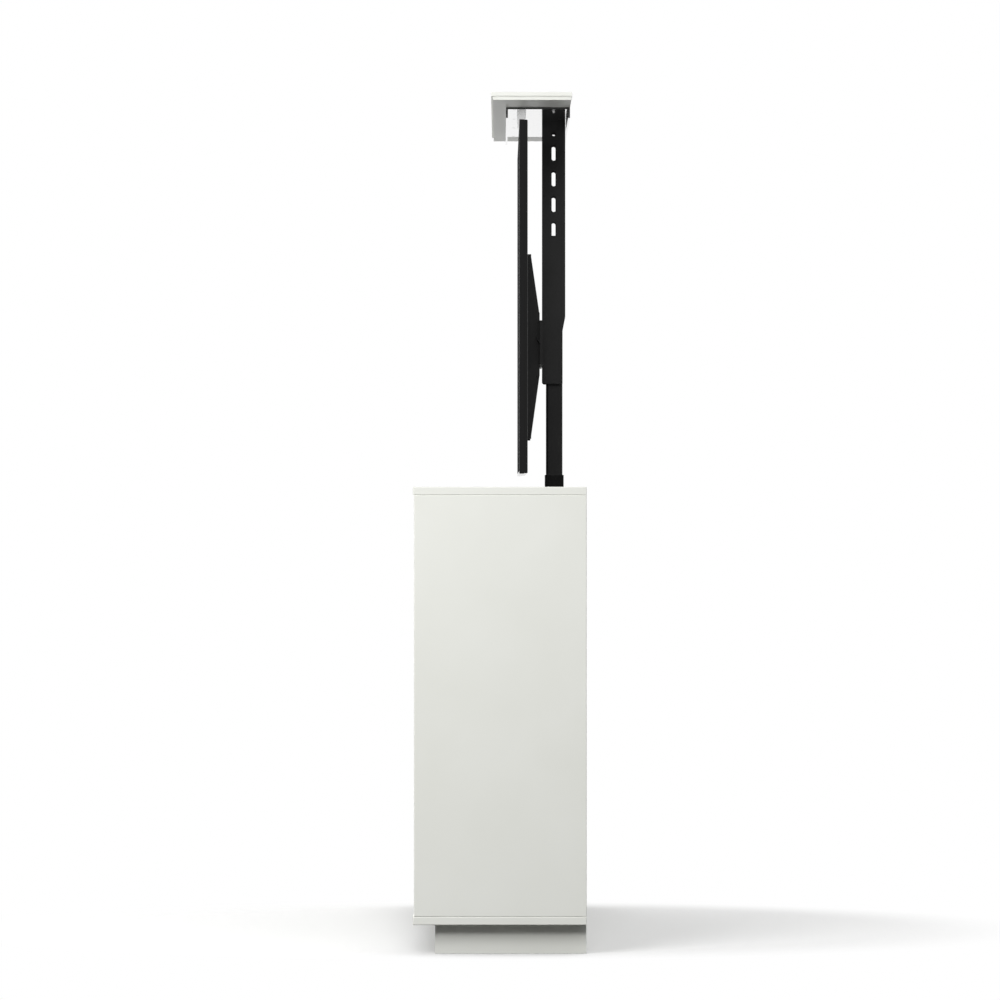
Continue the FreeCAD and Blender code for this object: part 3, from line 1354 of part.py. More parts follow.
def control_box():
    """Lift controller on the cabinet's floor."""
    body = board_flat("control_box", "control_x", "column_y - control_depth / 2",
                      "control_x + control_width", "column_y + control_depth / 2",
                      "floor_top", "control_height")
    soften(body, "edge_round", either(along("Z"), rim(body, "Z", 1)))


def build():
    """Make every sub-part."""
    top_panel()
    bottom_panel()
    partition_panel()
    centre_divider()
    for side, sign in SIDES.items():
        side_panel(side, sign)
        for level in SHELF_AT_ROW:
            shelf(side, sign, level)
    shelf_pins()
    plinth()
    back_rail()
    back_posts()
    back_panels()
    back_screws()
    cable_outlet()
    power_inlet()
    for index, hinge_side, x in pivots():
        door(index, hinge_side, x)
    door_pivot_pins()
    latch_housings()
    for index, x in latches():
        latch_plunger(index, x)
    lift_base_plate()
    base_plate_bolts()
    outer_tube()
    gearbox()
    drive_motor()
    lower_spindle()
    middle_stage()
    upper_spindle()
    inner_stage()
    riser_bracket()
    riser_spacer()
    bracket_screws()
    lid_channel()
    lid_panel()
    lid_screws()
    mount_plate()
    for side, sign in SIDES.items():
        mount_arm(side, sign)
    tv_screws()
    television()
    control_box()


def check():
    """Stop if any object failed or any sub-part's shape is unusable."""
    doc.recompute()
    for thing in doc.Objects:
        if {"Invalid", "Error"} & set(thing.State):
            raise RuntimeError(f"{thing.Label} failed: {thing.State}")
    nodes = [thing for thing in doc.Objects if thing.TypeId == "PartDesign::Body"] + GROUP_PIECES
    for node in nodes:
        if node.Shape.isNull() or not node.Shape.isValid():
            raise RuntimeError(f"{node.Label} has no valid shape")
    return nodes


def export(nodes):
    """Write each sub-part to parts/NODE.step."""
    os.makedirs("parts", exist_ok=True)
    for node in nodes:
        node.Shape.exportStep(f"parts/{node.Label}.step")
        print(f"{node.Label}: {len(node.Shape.Solids)} solid(s)")


build()
export(check())
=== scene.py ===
"""Looks of a lacquered cabinet whose telescopic column raises a television.

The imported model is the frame: its nodes keep their shapes and get their finishes here, and a few
nodes are replaced by pieces with more detail. Lengths are metres unless a name ends in mm.
"""

from __future__ import annotations

import logging
import math
from dataclasses import dataclass, replace
from enum import Enum
from typing import Callable, Iterable, Sequence

import bmesh
import bpy
from mathutils import Matrix, Vector


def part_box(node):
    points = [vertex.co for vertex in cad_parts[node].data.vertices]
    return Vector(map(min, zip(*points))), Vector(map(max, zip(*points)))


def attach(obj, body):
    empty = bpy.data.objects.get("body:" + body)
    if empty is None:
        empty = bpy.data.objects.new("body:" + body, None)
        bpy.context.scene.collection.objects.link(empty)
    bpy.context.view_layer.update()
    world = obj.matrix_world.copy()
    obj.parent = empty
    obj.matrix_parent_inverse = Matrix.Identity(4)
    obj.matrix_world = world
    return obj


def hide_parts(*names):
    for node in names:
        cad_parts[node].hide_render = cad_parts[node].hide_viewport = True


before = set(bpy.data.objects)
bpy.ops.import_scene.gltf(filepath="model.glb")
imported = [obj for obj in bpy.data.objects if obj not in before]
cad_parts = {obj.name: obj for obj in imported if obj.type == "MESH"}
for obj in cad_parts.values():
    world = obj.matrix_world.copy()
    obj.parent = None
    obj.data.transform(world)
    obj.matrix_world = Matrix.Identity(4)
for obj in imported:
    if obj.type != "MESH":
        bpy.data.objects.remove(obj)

LOG = logging.getLogger("tv_lift_cabinet")
MM = 0.001
TOUCHING = 1e-6
Socket = bpy.types.NodeSocket
Tree = bpy.types.NodeTree


class Body(str, Enum):
    """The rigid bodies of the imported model."""

    CABINET = "cabinet"
    MIDDLE = "lift_middle"
    HEAD = "lift_head"


class Slot(str, Enum):
    """The record's material slots."""

    FASTENER = "fastener"
    BLACK_FASTENER = "black_fastener"
    BLACK_COAT = "black_coat"
    GLOSS_BLACK = "gloss_black"
    TV_PLASTIC = "tv_plastic"
    BLACK_PLASTIC = "black_plastic"


# ------------------------------------------------------------------ finishes


def linear(hex_colour: str) -> tuple[float, float, float, float]:
    """Turn an sRGB hex colour into linear RGBA.

    Args:
        hex_colour: six hex digits, with or without a leading #.

    Returns:
        Linear red, green and blue, and an alpha of 1.
    """
    digits = hex_colour.lstrip("#")
    parts = [int(digits[i : i + 2], 16) / 255 for i in (0, 2, 4)]
    red, green, blue = (
        part / 12.92 if part <= 0.04045 else ((part + 0.055) / 1.055) ** 2.4 for part in parts
    )
    return (red, green, blue, 1.0)


def add_node(
    tree: Tree, kind: str, links: dict[str | int, object] | None = None, **settings: object
) -> bpy.types.Node:
    """Add a shader node with its settings and links.

    Args:
        tree: the node tree.
        kind: the node's type, such as ShaderNodeBump.
        links: input name or index to an output socket or a plain value.
        settings: the node's own properties.

    Returns:
        The new node.
    """
    node = tree.nodes.new(kind)
    for name, value in settings.items():
        setattr(node, name, value)
    for name, value in (links or {}).items():
        if isinstance(value, Socket):
            tree.links.new(value, node.inputs[name])
        else:
            node.inputs[name].default_value = value
    return node


class Pattern(Enum):
    """Which pattern carries the colour: the fine grain or the broad clouds."""

    GRAIN = "grain"
    CLOUD = "cloud"


@dataclass(frozen=True)
class Finish:
    """A real material and how its surface was made.

    Attributes:
        name: the material's name.
        colour: sRGB hex of the surface's darker parts.
        lighter: sRGB hex of its lighter parts.
        roughness: how matt it is.
        uneven: how far the roughness wanders either way.
        metallic: 1 for bare metal.
        specular: specular level of the principled shader.
        coat: weight of a clear coat.
        coat_roughness: how far the coat blurs what it mirrors.
        grain_mm: size of the fine grain.
        stretch: how the grain is drawn out along each axis; small is long.
        detail: octaves of the grain.
        cloud_mm: size of the broad unevenness.
        relief_mm: height of the grain.
        relief: strength of the grain's bump.
        coloured_by: the pattern that mixes the two colours.
    """

    name: str
    colour: str
    lighter: str
    roughness: float
    uneven: float = 0.05
    metallic: float = 0.0
    specular: float = 0.5
    coat: float = 0.0
    coat_roughness: float = 0.03
    grain_mm: float = 1.5
    stretch: tuple[float, float, float] = (1.0, 1.0, 1.0)
    detail: float = 2.0
    cloud_mm: float = 90.0
    relief_mm: float = 0.1
    relief: float = 0.3
    coloured_by: Pattern = Pattern.GRAIN

    def material(self) -> bpy.types.Material:
        """The finish as a material, made once."""
        made = bpy.data.materials.get(self.name)
        if made:
            return made
        made = bpy.data.materials.new(self.name)
        made.use_nodes = True
        tree = made.node_tree
        shader = tree.nodes["Principled BSDF"]
        shader.inputs["Metallic"].default_value = self.metallic
        shader.inputs["Specular IOR Level"].default_value = self.specular
        shader.inputs["Coat Weight"].default_value = self.coat
        shader.inputs["Coat Roughness"].default_value = self.coat_roughness
        place = add_node(tree, "ShaderNodeTexCoord").outputs["Object"]
        self.dress(tree, shader, place)
        return made

    def grain(self, tree: Tree, place: Socket) -> Socket:
        """The fine pattern of the surface, from 0 to 1."""
        drawn = add_node(
            tree, "ShaderNodeMapping", {"Vector": place, "Scale": self.stretch}
        ).outputs["Vector"]
        links = {"Vector": drawn, "Scale": 1 / (self.grain_mm * MM), "Detail": self.detail}
        return add_node(tree, "ShaderNodeTexNoise", links).outputs["Fac"]

    def dress(self, tree: Tree, shader: bpy.types.Node, place: Socket) -> None:
        """Lay the grain and the clouds into colour, roughness and bump.

        Args:
            tree: the material's node tree.
            shader: its principled shader.
            place: Object coordinates.
        """
        grain = self.grain(tree, place)
        cloud = add_node(
            tree, "ShaderNodeTexNoise",
            {"Vector": place, "Scale": 1 / (self.cloud_mm * MM), "Detail": 3.0},
        ).outputs["Fac"]
        mixed_by = grain if self.coloured_by is Pattern.GRAIN else cloud
        ramp = add_node(tree, "ShaderNodeValToRGB", {"Fac": mixed_by})
        for stop, position, colour in zip(
            ramp.color_ramp.elements, (0.3, 0.7), (self.colour, self.lighter)
        ):
            stop.position, stop.color = position, linear(colour)
        tree.links.new(ramp.outputs["Color"], shader.inputs["Base Color"])
        wander = add_node(
            tree, "ShaderNodeMapRange",
            {"Value": cloud, "To Min": self.roughness - self.uneven,
             "To Max": self.roughness + self.uneven},
        )
        tree.links.new(wander.outputs["Result"], shader.inputs["Roughness"])
        raised = add_node(
            tree, "ShaderNodeBump",
            {"Height": grain, "Distance": self.relief_mm * MM, "Strength": self.relief},
        )
        tree.links.new(raised.outputs["Normal"], shader.inputs["Normal"])


@dataclass(frozen=True)
class PebbledFilm(Finish):
    """A printed film pressed onto board under a plate with tiny rounded pebbles."""

    def grain(self, tree: Tree, place: Socket) -> Socket:
        """Pebbles, drawn about twice as coarse as the real ones."""
        pebbles = add_node(
            tree, "ShaderNodeTexVoronoi", {"Vector": place, "Scale": 1 / (self.grain_mm * MM)},
            feature="SMOOTH_F1",
        )
        return pebbles.outputs["Distance"]


@dataclass(frozen=True)
class RolledThread(Finish):
    """A screw thread rolled into bright steel, with grease in its grooves."""

    def grain(self, tree: Tree, place: Socket) -> Socket:
        """Grooves as bands along the spindle, one for each grain_mm."""
        bands = add_node(
            tree, "ShaderNodeTexWave",
            {"Vector": place, "Scale": 1 / (self.grain_mm * MM) / 3.2, "Distortion": 0.0},
            bands_direction="Z",
        )
        return bands.outputs["Fac"]


@dataclass(frozen=True)
class AntiGlareGlass(Finish):
    """Etched display glass: a dark sheen seen squarely, and a painted grey sheen in its base colour
    when it is looked along.

    Attributes:
        half_width: half the width of the lit area.
        low: bottom of the lit area.
        high: top of the lit area.
        border: sRGB hex of the printed border around it.
        painted_sheen: sRGB hex of the painted sheen that the base colour turns to at a shallow
            angle.
    """

    half_width: float = 0.7
    low: float = 1.1
    high: float = 1.9
    border: str = "#060606"
    painted_sheen: str = "#151516"

    def dress(self, tree: Tree, shader: bpy.types.Node, place: Socket) -> None:
        """A printed black border, a panel that is a little bluer, wipe marks, and a painted grey
        sheen where the glass is looked along.
        """
        super().dress(tree, shader, place)
        panel = shader.inputs["Base Color"].links[0].from_socket
        wiped = shader.inputs["Roughness"].links[0].from_socket
        centre = Vector((0, 0, (self.low + self.high) / 2))
        reach = Vector((self.half_width, 1, (self.high - self.low) / 2))
        spot = add_node(
            tree, "ShaderNodeVectorMath", {0: place, 1: centre}, operation="SUBTRACT"
        ).outputs["Vector"]
        spot = add_node(
            tree, "ShaderNodeVectorMath", {0: spot, 1: reach}, operation="DIVIDE"
        ).outputs["Vector"]
        spot = add_node(tree, "ShaderNodeVectorMath", {0: spot}, operation="ABSOLUTE").outputs[0]
        axes = add_node(tree, "ShaderNodeSeparateXYZ", {"Vector": spot}).outputs
        furthest = add_node(
            tree, "ShaderNodeMath", {0: axes["X"], 1: axes["Z"]}, operation="MAXIMUM"
        ).outputs[0]
        printed = add_node(
            tree, "ShaderNodeMath", {0: furthest, 1: 1.0}, operation="GREATER_THAN"
        ).outputs[0]
        edged = add_node(
            tree, "ShaderNodeMix", {"Factor": printed, 6: panel, 7: linear(self.border)},
            data_type="RGBA",
        ).outputs[2]
        facing = add_node(tree, "ShaderNodeLayerWeight", {"Blend": 0.5}).outputs["Facing"]
        shallow = add_node(
            tree, "ShaderNodeMapRange", {"Value": facing, "From Min": 0.85, "From Max": 0.98}
        ).outputs["Result"]
        # Painted sheen: where the glass is looked along, the base colour is mixed towards a grey
        # that stands in for the light the etching scatters.
        sheen_painted_colour = add_node(
            tree, "ShaderNodeMix", {"Factor": shallow, 6: edged, 7: linear(self.painted_sheen)},
            data_type="RGBA",
        ).outputs[2]
        tree.links.new(sheen_painted_colour, shader.inputs["Base Color"])
        matt = add_node(tree, "ShaderNodeMix", {"Factor": shallow, 2: wiped, 3: 1.0})
        tree.links.new(matt.outputs[0], shader.inputs["Roughness"])


# Satin lacquer sprayed on fibreboard: an off-white, soft sheen that is barely uneven. Its orange
# peel of 2 to 3 mm is drawn coarser so that it shows at all.
LACQUER = Finish(
    "satin_lacquer_on_fibreboard", "#E7E8E1", "#EBECE6", 0.38, grain_mm=7.0, cloud_mm=260.0,
    relief_mm=0.05, relief=0.12, coloured_by=Pattern.CLOUD,
)
# Melamine-faced board: flat, a little greyer than the lacquer and quite matt.
BACK_BOARD = PebbledFilm(
    "melamine_faced_board", "#DEDFD9", "#E4E5E0", 0.55, grain_mm=2.4, cloud_mm=180.0,
    relief_mm=0.06, relief=0.25, coloured_by=Pattern.CLOUD,
)
# Powder coat baked on sheet steel: an even black whose leather-like grain of 0.5 mm breaks up
# highlights; the grain is drawn three times as coarse.
POWDER_COAT = Finish(
    "black_powder_coat_on_steel", "#0E0E0E", "#181818", 0.55, uneven=0.06, specular=0.25,
    grain_mm=1.6, detail=3.0, relief_mm=0.12, relief=0.35,
)
# The same coat on the sliding tubes, rubbed a little smoother by their glides.
TUBE_COAT = Finish(
    "rubbed_powder_coat_on_tube", "#0C0C0C", "#131313", 0.48, specular=0.18, grain_mm=1.6,
    stretch=(1.0, 1.0, 0.25), detail=3.0, relief_mm=0.1, relief=0.25,
)
# Black oxide and oil on the lower tubes: deeper and flatter than the powder coat.
DEEP_COAT = Finish(
    "oiled_black_oxide_on_tube", "#040404", "#0A0A0A", 0.5, specular=0.1, grain_mm=2.0,
    stretch=(1.0, 1.0, 0.25), relief_mm=0.08, relief=0.2,
)
# Gloss enamel rubbed smooth under a clear coat: nearly a mirror when it is looked along, with
# rubbing marks along its length.
POLISHED_BLACK = Finish(
    "polished_black_enamel", "#0B0B0B", "#101010", 0.05, uneven=0.012, specular=0.3, coat=1.0,
    coat_roughness=0.07, grain_mm=12.0, stretch=(0.08, 1.0, 1.0), detail=3.0, relief_mm=0.002,
    relief=0.02,
)
# Anodised aluminium profile, polished along its length: dark seen squarely and bright when it is
# looked along. Polishing marks of 0.3 mm are drawn as 1.2 mm streaks.
TV_RIM = Finish(
    "polished_black_anodised_aluminium", "#0D0D0D", "#131313", 0.06, uneven=0.02, specular=0.15,
    grain_mm=1.2, stretch=(0.02, 1.0, 0.02), detail=4.0, relief_mm=0.0005, relief=0.02,
)
# Display glass etched against glare: bluish black inside a black border, with a painted grey sheen
# in the base colour when it is looked along.
TV_SCREEN = AntiGlareGlass(
    "etched_anti_glare_glass", "#090B0E", "#0C0E12", 0.24, uneven=0.04, specular=0.11,
    grain_mm=3.0, cloud_mm=140.0, relief_mm=0.003, relief=0.02, coloured_by=Pattern.CLOUD,
)
# Injection-moulded ABS from a spark-eroded mould: matt black, with grain drawn twice as coarse.
TV_PLASTIC = Finish(
    "grained_black_abs", "#121212", "#1B1B1B", 0.58, specular=0.3, grain_mm=1.4,
    relief_mm=0.08, relief=0.3,
)
# Moulded nylon of sockets, outlets and boxes: black with a duller, finer grain.
BLACK_PLASTIC = Finish(
    "moulded_black_nylon", "#161616", "#242425", 0.5, grain_mm=1.0, relief_mm=0.06, relief=0.3
)
# Moulded acetal copolymer of the latches: light grey, faintly waxy.
LATCH_PLASTIC = Finish(
    "moulded_grey_acetal", "#D2D2CC", "#DADAD5", 0.42, grain_mm=1.4, relief_mm=0.03, relief=0.2
)
# Machined natural acetal: creamy, smooth, with fine tool marks around it.
ACETAL = Finish(
    "machined_natural_acetal", "#DCD9CC", "#E4E2D8", 0.35, grain_mm=1.4,
    stretch=(0.2, 0.2, 1.0), relief_mm=0.02, relief=0.2,
)
# Moulded glide rings, greased by use.
GLIDE_PLASTIC = Finish(
    "greased_black_glide_plastic", "#0C0C0C", "#131313", 0.4, grain_mm=2.0, relief_mm=0.03
)
# Zinc plating: pale grey metal with cloudy patches of a few millimetres.
ZINC = Finish(
    "zinc_plated_steel", "#AEB1B4", "#C9CBCC", 0.32, uneven=0.08, metallic=1.0, grain_mm=4.0,
    detail=3.0, cloud_mm=9.0, relief_mm=0.01, relief=0.1, coloured_by=Pattern.CLOUD,
)
# Black oxide on steel screws and shells: nearly black, with a dull oily sheen.
BLACK_OXIDE = Finish(
    "black_oxide_steel", "#151515", "#1E1E1E", 0.4, uneven=0.08, metallic=0.6, grain_mm=3.0,
    cloud_mm=8.0, relief_mm=0.01, relief=0.1,
)
# Nickel plating on the motor's drawn can: bright, with fine marks along the drawing direction.
MOTOR_STEEL = Finish(
    "nickel_plated_drawn_steel", "#8F9396", "#A7ABAE", 0.28, metallic=1.0, grain_mm=1.2,
    stretch=(1.0, 1.0, 0.05), detail=4.0, cloud_mm=30.0, relief_mm=0.01, relief=0.15,
)
# Rolled steel thread, greased: bright crests and brownish grooves 5 mm apart.
THREAD = RolledThread(
    "greased_rolled_thread", "#5A5142", "#B4B7B9", 0.3, uneven=0.1, metallic=1.0, grain_mm=5.0,
    relief_mm=0.6, relief=0.8,
)
# Painted die casting: dark grey over a sandy skin of about 1 mm.
CASTING = Finish(
    "painted_die_casting", "#36373A", "#4A4B4D", 0.5, uneven=0.08, grain_mm=1.1, detail=5.0,
    relief_mm=0.25, relief=0.6,
)


# ------------------------------------------------------------------ mesh helpers


def finish_piece(
    name: str, mesh: bmesh.types.BMesh, finish: Finish, body: Body,
    smooth_deg: float = 35,
) -> bpy.types.Object:
    """Turn a bmesh into a named piece that rides on a body.

    Args:
        name: the piece's name.
        mesh: its bmesh, which is freed.
        finish: what it is made of.
        body: the body it moves with.
        smooth_deg: edges flatter than this are shaded smooth.

    Returns:
        The new object.
    """
    bmesh.ops.remove_doubles(mesh, verts=mesh.verts, dist=TOUCHING)
    bmesh.ops.recalc_face_normals(mesh, faces=mesh.faces)
    data = bpy.data.meshes.new(name)
    mesh.to_mesh(data)
    mesh.free()
    piece = bpy.data.objects.new(name, data)
    bpy.context.scene.collection.objects.link(piece)
    for face in data.polygons:
        face.use_smooth = True
    data.set_sharp_from_angle(angle=math.radians(smooth_deg))
    data.materials.append(finish.material())
    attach(piece, body.value)
    LOG.info("%s: %d faces on %s", name, len(data.polygons), body.value)
    return piece


def turned_to(direction: Vector) -> Matrix:
    """The rotation that turns +Z to a direction.

    Args:
        direction: a unit vector.

    Returns:
        The rotation as a 4 by 4 matrix.
    """
    return Vector((0, 0, 1)).rotation_difference(direction).to_matrix().to_4x4()


def loop_edges(verts: Iterable[bmesh.types.BMVert]) -> list[bmesh.types.BMEdge]:
    """The edges that join the given vertices to each other.

    Args:
        verts: vertices of one mesh.

    Returns:
        Each such edge once.
    """
    chosen = set(verts)
    return list({e for v in chosen for e in v.link_edges if e.other_vert(v) in chosen})


def ring(
    mesh: bmesh.types.BMesh, radius: float, height: float, segments: int
) -> list[bmesh.types.BMEdge]:
    """Add a circle of edges around the Z axis.

    Args:
        mesh: the bmesh that gets the circle.
        radius: its radius.
        height: its place along Z.
        segments: how many edges it has.

    Returns:
        The edges.
    """
    made = bmesh.ops.create_circle(
        mesh, cap_ends=False, radius=radius, segments=segments,
        matrix=Matrix.Translation((0, 0, height)),
    )
    return loop_edges(made["verts"])


def stack(mesh: bmesh.types.BMesh, rings: Sequence[tuple[float, float, int]]) -> None:
    """Add a closed turned solid that is capped at both ends.

    Args:
        mesh: the bmesh that gets the solid.
        rings: radius, height and segments of each ring, from one end to the other.
    """
    edges = ring(mesh, *rings[0])
    bmesh.ops.edgeloop_fill(mesh, edges=edges)
    for (radius, height, segments), upper in zip(rings, rings[1:]):
        if upper[2] == segments:
            grown = bmesh.ops.extrude_edge_only(mesh, edges=edges)["geom"]
            verts = [g for g in grown if isinstance(g, bmesh.types.BMVert)]
            growth = upper[0] / radius
            bmesh.ops.scale(mesh, vec=Vector((growth, growth, 1.0)), verts=verts)
            bmesh.ops.translate(mesh, vec=Vector((0, 0, upper[1] - height)), verts=verts)
            edges = loop_edges(verts)
        else:
            lower, edges = edges, ring(mesh, *upper)
            bmesh.ops.bridge_loops(mesh, edges=lower + edges)
    bmesh.ops.edgeloop_fill(mesh, edges=edges)


def block(mesh: bmesh.types.BMesh, low: Vector, high: Vector, bevel: float) -> None:
    """Add a block with rounded edges between two corners.

    Args:
        mesh: the bmesh that gets the block.
        low: its lowest corner.
        high: its highest corner.
        bevel: how wide its rounded edges are.
    """
    size, middle = high - low, (high + low) / 2
    matrix = Matrix.Translation(middle) @ Matrix.Diagonal((*size, 1.0))
    made = bmesh.ops.create_cube(mesh, size=1.0, matrix=matrix)
    bmesh.ops.bevel(
        mesh, geom=loop_edges(made["verts"]), offset=bevel, offset_type="OFFSET", segments=2,
        profile=0.5, affect="EDGES", material=-1,
    )


def dress_node(node: str, finish: Finish) -> None:
    """Give a CAD node its finish in every material slot.

    Args:
        node: the node's name.
        finish: what it is made of.
    """
    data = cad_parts[node].data
    if not data.materials:
        data.materials.append(finish.material())
    for index in range(len(data.materials)):
        data.materials[index] = finish.material()


def islands(node: str) -> list[tuple[Vector, Vector]]:
    """The boxes of a node's separate solids, from its merged mesh.

    Args:
        node: the CAD node's name.

    Returns:
        The lowest and highest corner of each solid.
    """
    mesh = bmesh.new()
    mesh.from_mesh(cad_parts[node].data)
    bmesh.ops.remove_doubles(mesh, verts=mesh.verts, dist=TOUCHING)
    unseen, boxes = set(mesh.verts), []
    while unseen:
        todo, found = [unseen.pop()], []
        while todo:
            vert = todo.pop()
            found.append(vert.co.copy())
            for edge in vert.link_edges:
                other = edge.other_vert(vert)
                if other in unseen:
                    unseen.remove(other)
                    todo.append(other)
        low = Vector(min(co[i] for co in found) for i in range(3))
        high = Vector(max(co[i] for co in found) for i in range(3))
        boxes.append((low, high))
    mesh.free()
    return sorted(boxes, key=lambda pair: tuple(round(v, 4) for v in pair[0]))


# ------------------------------------------------------------------ screws


class Head(Enum):
    """Shapes of screw heads."""

    PAN = "pan"
    COUNTERSUNK = "countersunk"
    HEXAGON = "hexagon"


@dataclass
class ScrewSet:
    """All screws of one CAD node, with their heads and sockets.

    Attributes:
        node: the CAD node that the set replaces.
        body: the body it rides on.
        slot: the record's slot; not used.
        finish: what the screws are made of.
        outwards: the direction that the heads face.
        head: the head's shape.
        head_radius: the head's radius.
        head_depth: the head's height, or the depth of its countersink.
        shank_radius: the shank's radius.
    """

    node: str
    body: Body
    slot: Slot
    finish: Finish
    outwards: Vector
    head: Head
    head_radius: float
    head_depth: float
    shank_radius: float

    def rings(self, length: float) -> list[tuple[float, float, int]]:
        """Rings of one screw whose outer end is at zero and whose tip is at -length.

        Args:
            length: the screw's whole length.

        Returns:
            Radius, height and segments of each ring, from the tip outwards.
        """
        radius, depth, shank = self.head_radius, self.head_depth, self.shank_radius
        socket = 0.52 * radius
        tip = [(0.6 * shank, -length, 24), (shank, -length + 0.5 * shank, 24)]
        if self.head is Head.COUNTERSUNK:
            top = [(shank, -depth, 24), (radius, -0.1 * depth, 24), (0.97 * radius, 0.0, 24)]
        elif self.head is Head.PAN:
            top = [
                (shank, -depth, 24), (radius, -depth, 24), (radius, -0.55 * depth, 24),
                (0.9 * radius, -0.18 * depth, 24), (0.68 * radius, 0.0, 24),
            ]
        else:
            top = [
                (shank, -depth, 24), (0.86 * radius, -depth, 24), (0.98 * radius, -0.92 * depth, 6),
                (radius, -0.12 * depth, 6), (0.86 * radius, 0.0, 24),
            ]
            return tip + top
        return tip + top + [(socket, 0.0, 6), (socket, -0.62 * depth, 6)]

    def build(self) -> bpy.types.Object:
        """Make the screws where the node's solids are.

        Returns:
            All of them as one piece.
        """
        mesh = bmesh.new()
        for low, high in islands(self.node):
            length = abs((high - low).dot(self.outwards))
            outer = (low + high) / 2 + self.outwards * (length / 2)
            single = bmesh.new()
            stack(single, self.rings(length))
            single.transform(Matrix.Translation(outer) @ turned_to(self.outwards))
            data = bpy.data.meshes.new("single_screw")
            single.to_mesh(data)
            single.free()
            mesh.from_mesh(data)
            bpy.data.meshes.remove(data)
        piece = finish_piece(f"{self.node}_turned", mesh, self.finish, self.body, 30)
        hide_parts(self.node)
        return piece


# ------------------------------------------------------------------ cabinet


@dataclass
class Carcass:
    """The lacquered boards, the back and what is fixed to them."""

    lacquered: Sequence[str] = (
        "top_panel", "bottom_panel", "side_panel_left", "side_panel_right", "partition_panel",
        "centre_divider", "plinth_front", "plinth_rear", "plinth_left", "plinth_right",
        "plinth_cross_rail", "shelf_left_lower", "shelf_left_upper", "shelf_right_lower",
        "shelf_right_upper", "door_1", "door_2", "door_3", "door_4", "lid_panel",
    )
    back: Sequence[str] = (
        "back_rail", "back_post_left", "back_post_right", "back_panel_left", "back_panel_right",
        "service_panel",
    )
    pins: Sequence[str] = ("door_pivot_pins", "shelf_pins")
    latches: Sequence[str] = (
        "latch_housings", "latch_plunger_1", "latch_plunger_2", "latch_plunger_3",
        "latch_plunger_4",
    )
    blade_mm: tuple[float, float, float] = (2.4, 13.5, 4.4)
    blade_places_mm: Sequence[tuple[float, float]] = ((-7, -3), (7, -3), (0, 3))

    def dress(self) -> None:
        """Lacquer the boards, face the back, plate the pins and mould the latches."""
        for nodes, finish in (
            (self.lacquered, LACQUER), (self.back, BACK_BOARD), (self.pins, ZINC),
            (self.latches, LATCH_PLASTIC), (("cable_outlet", "power_inlet"), BLACK_PLASTIC),
        ):
            for node in nodes:
                dress_node(node, finish)

    def build_inlet_blades(self) -> bpy.types.Object:
        """Three rounded contact blades inside the power inlet."""
        low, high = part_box("power_inlet")
        middle = (low + high) / 2
        mesh = bmesh.new()
        width, depth, height = (size * MM for size in self.blade_mm)
        for across, up in self.blade_places_mm:
            root = Vector((middle.x + across * MM, high.y - 3.0 * MM, middle.z + up * MM))
            block(
                mesh, root - Vector((width / 2, depth, height / 2)),
                root + Vector((width / 2, 0, height / 2)), 0.35 * MM,
            )
        return finish_piece("inlet_blades", mesh, ZINC, Body.CABINET)

    def build(self) -> None:
        """Dress the nodes and make the small pieces."""
        self.dress()
        self.build_inlet_blades()
        ScrewSet(
            "back_screws", Body.CABINET, Slot.FASTENER, ZINC, Vector((0, 1, 0)), Head.PAN,
            4 * MM, 2 * MM, 2 * MM,
        ).build()


# ------------------------------------------------------------------ lift


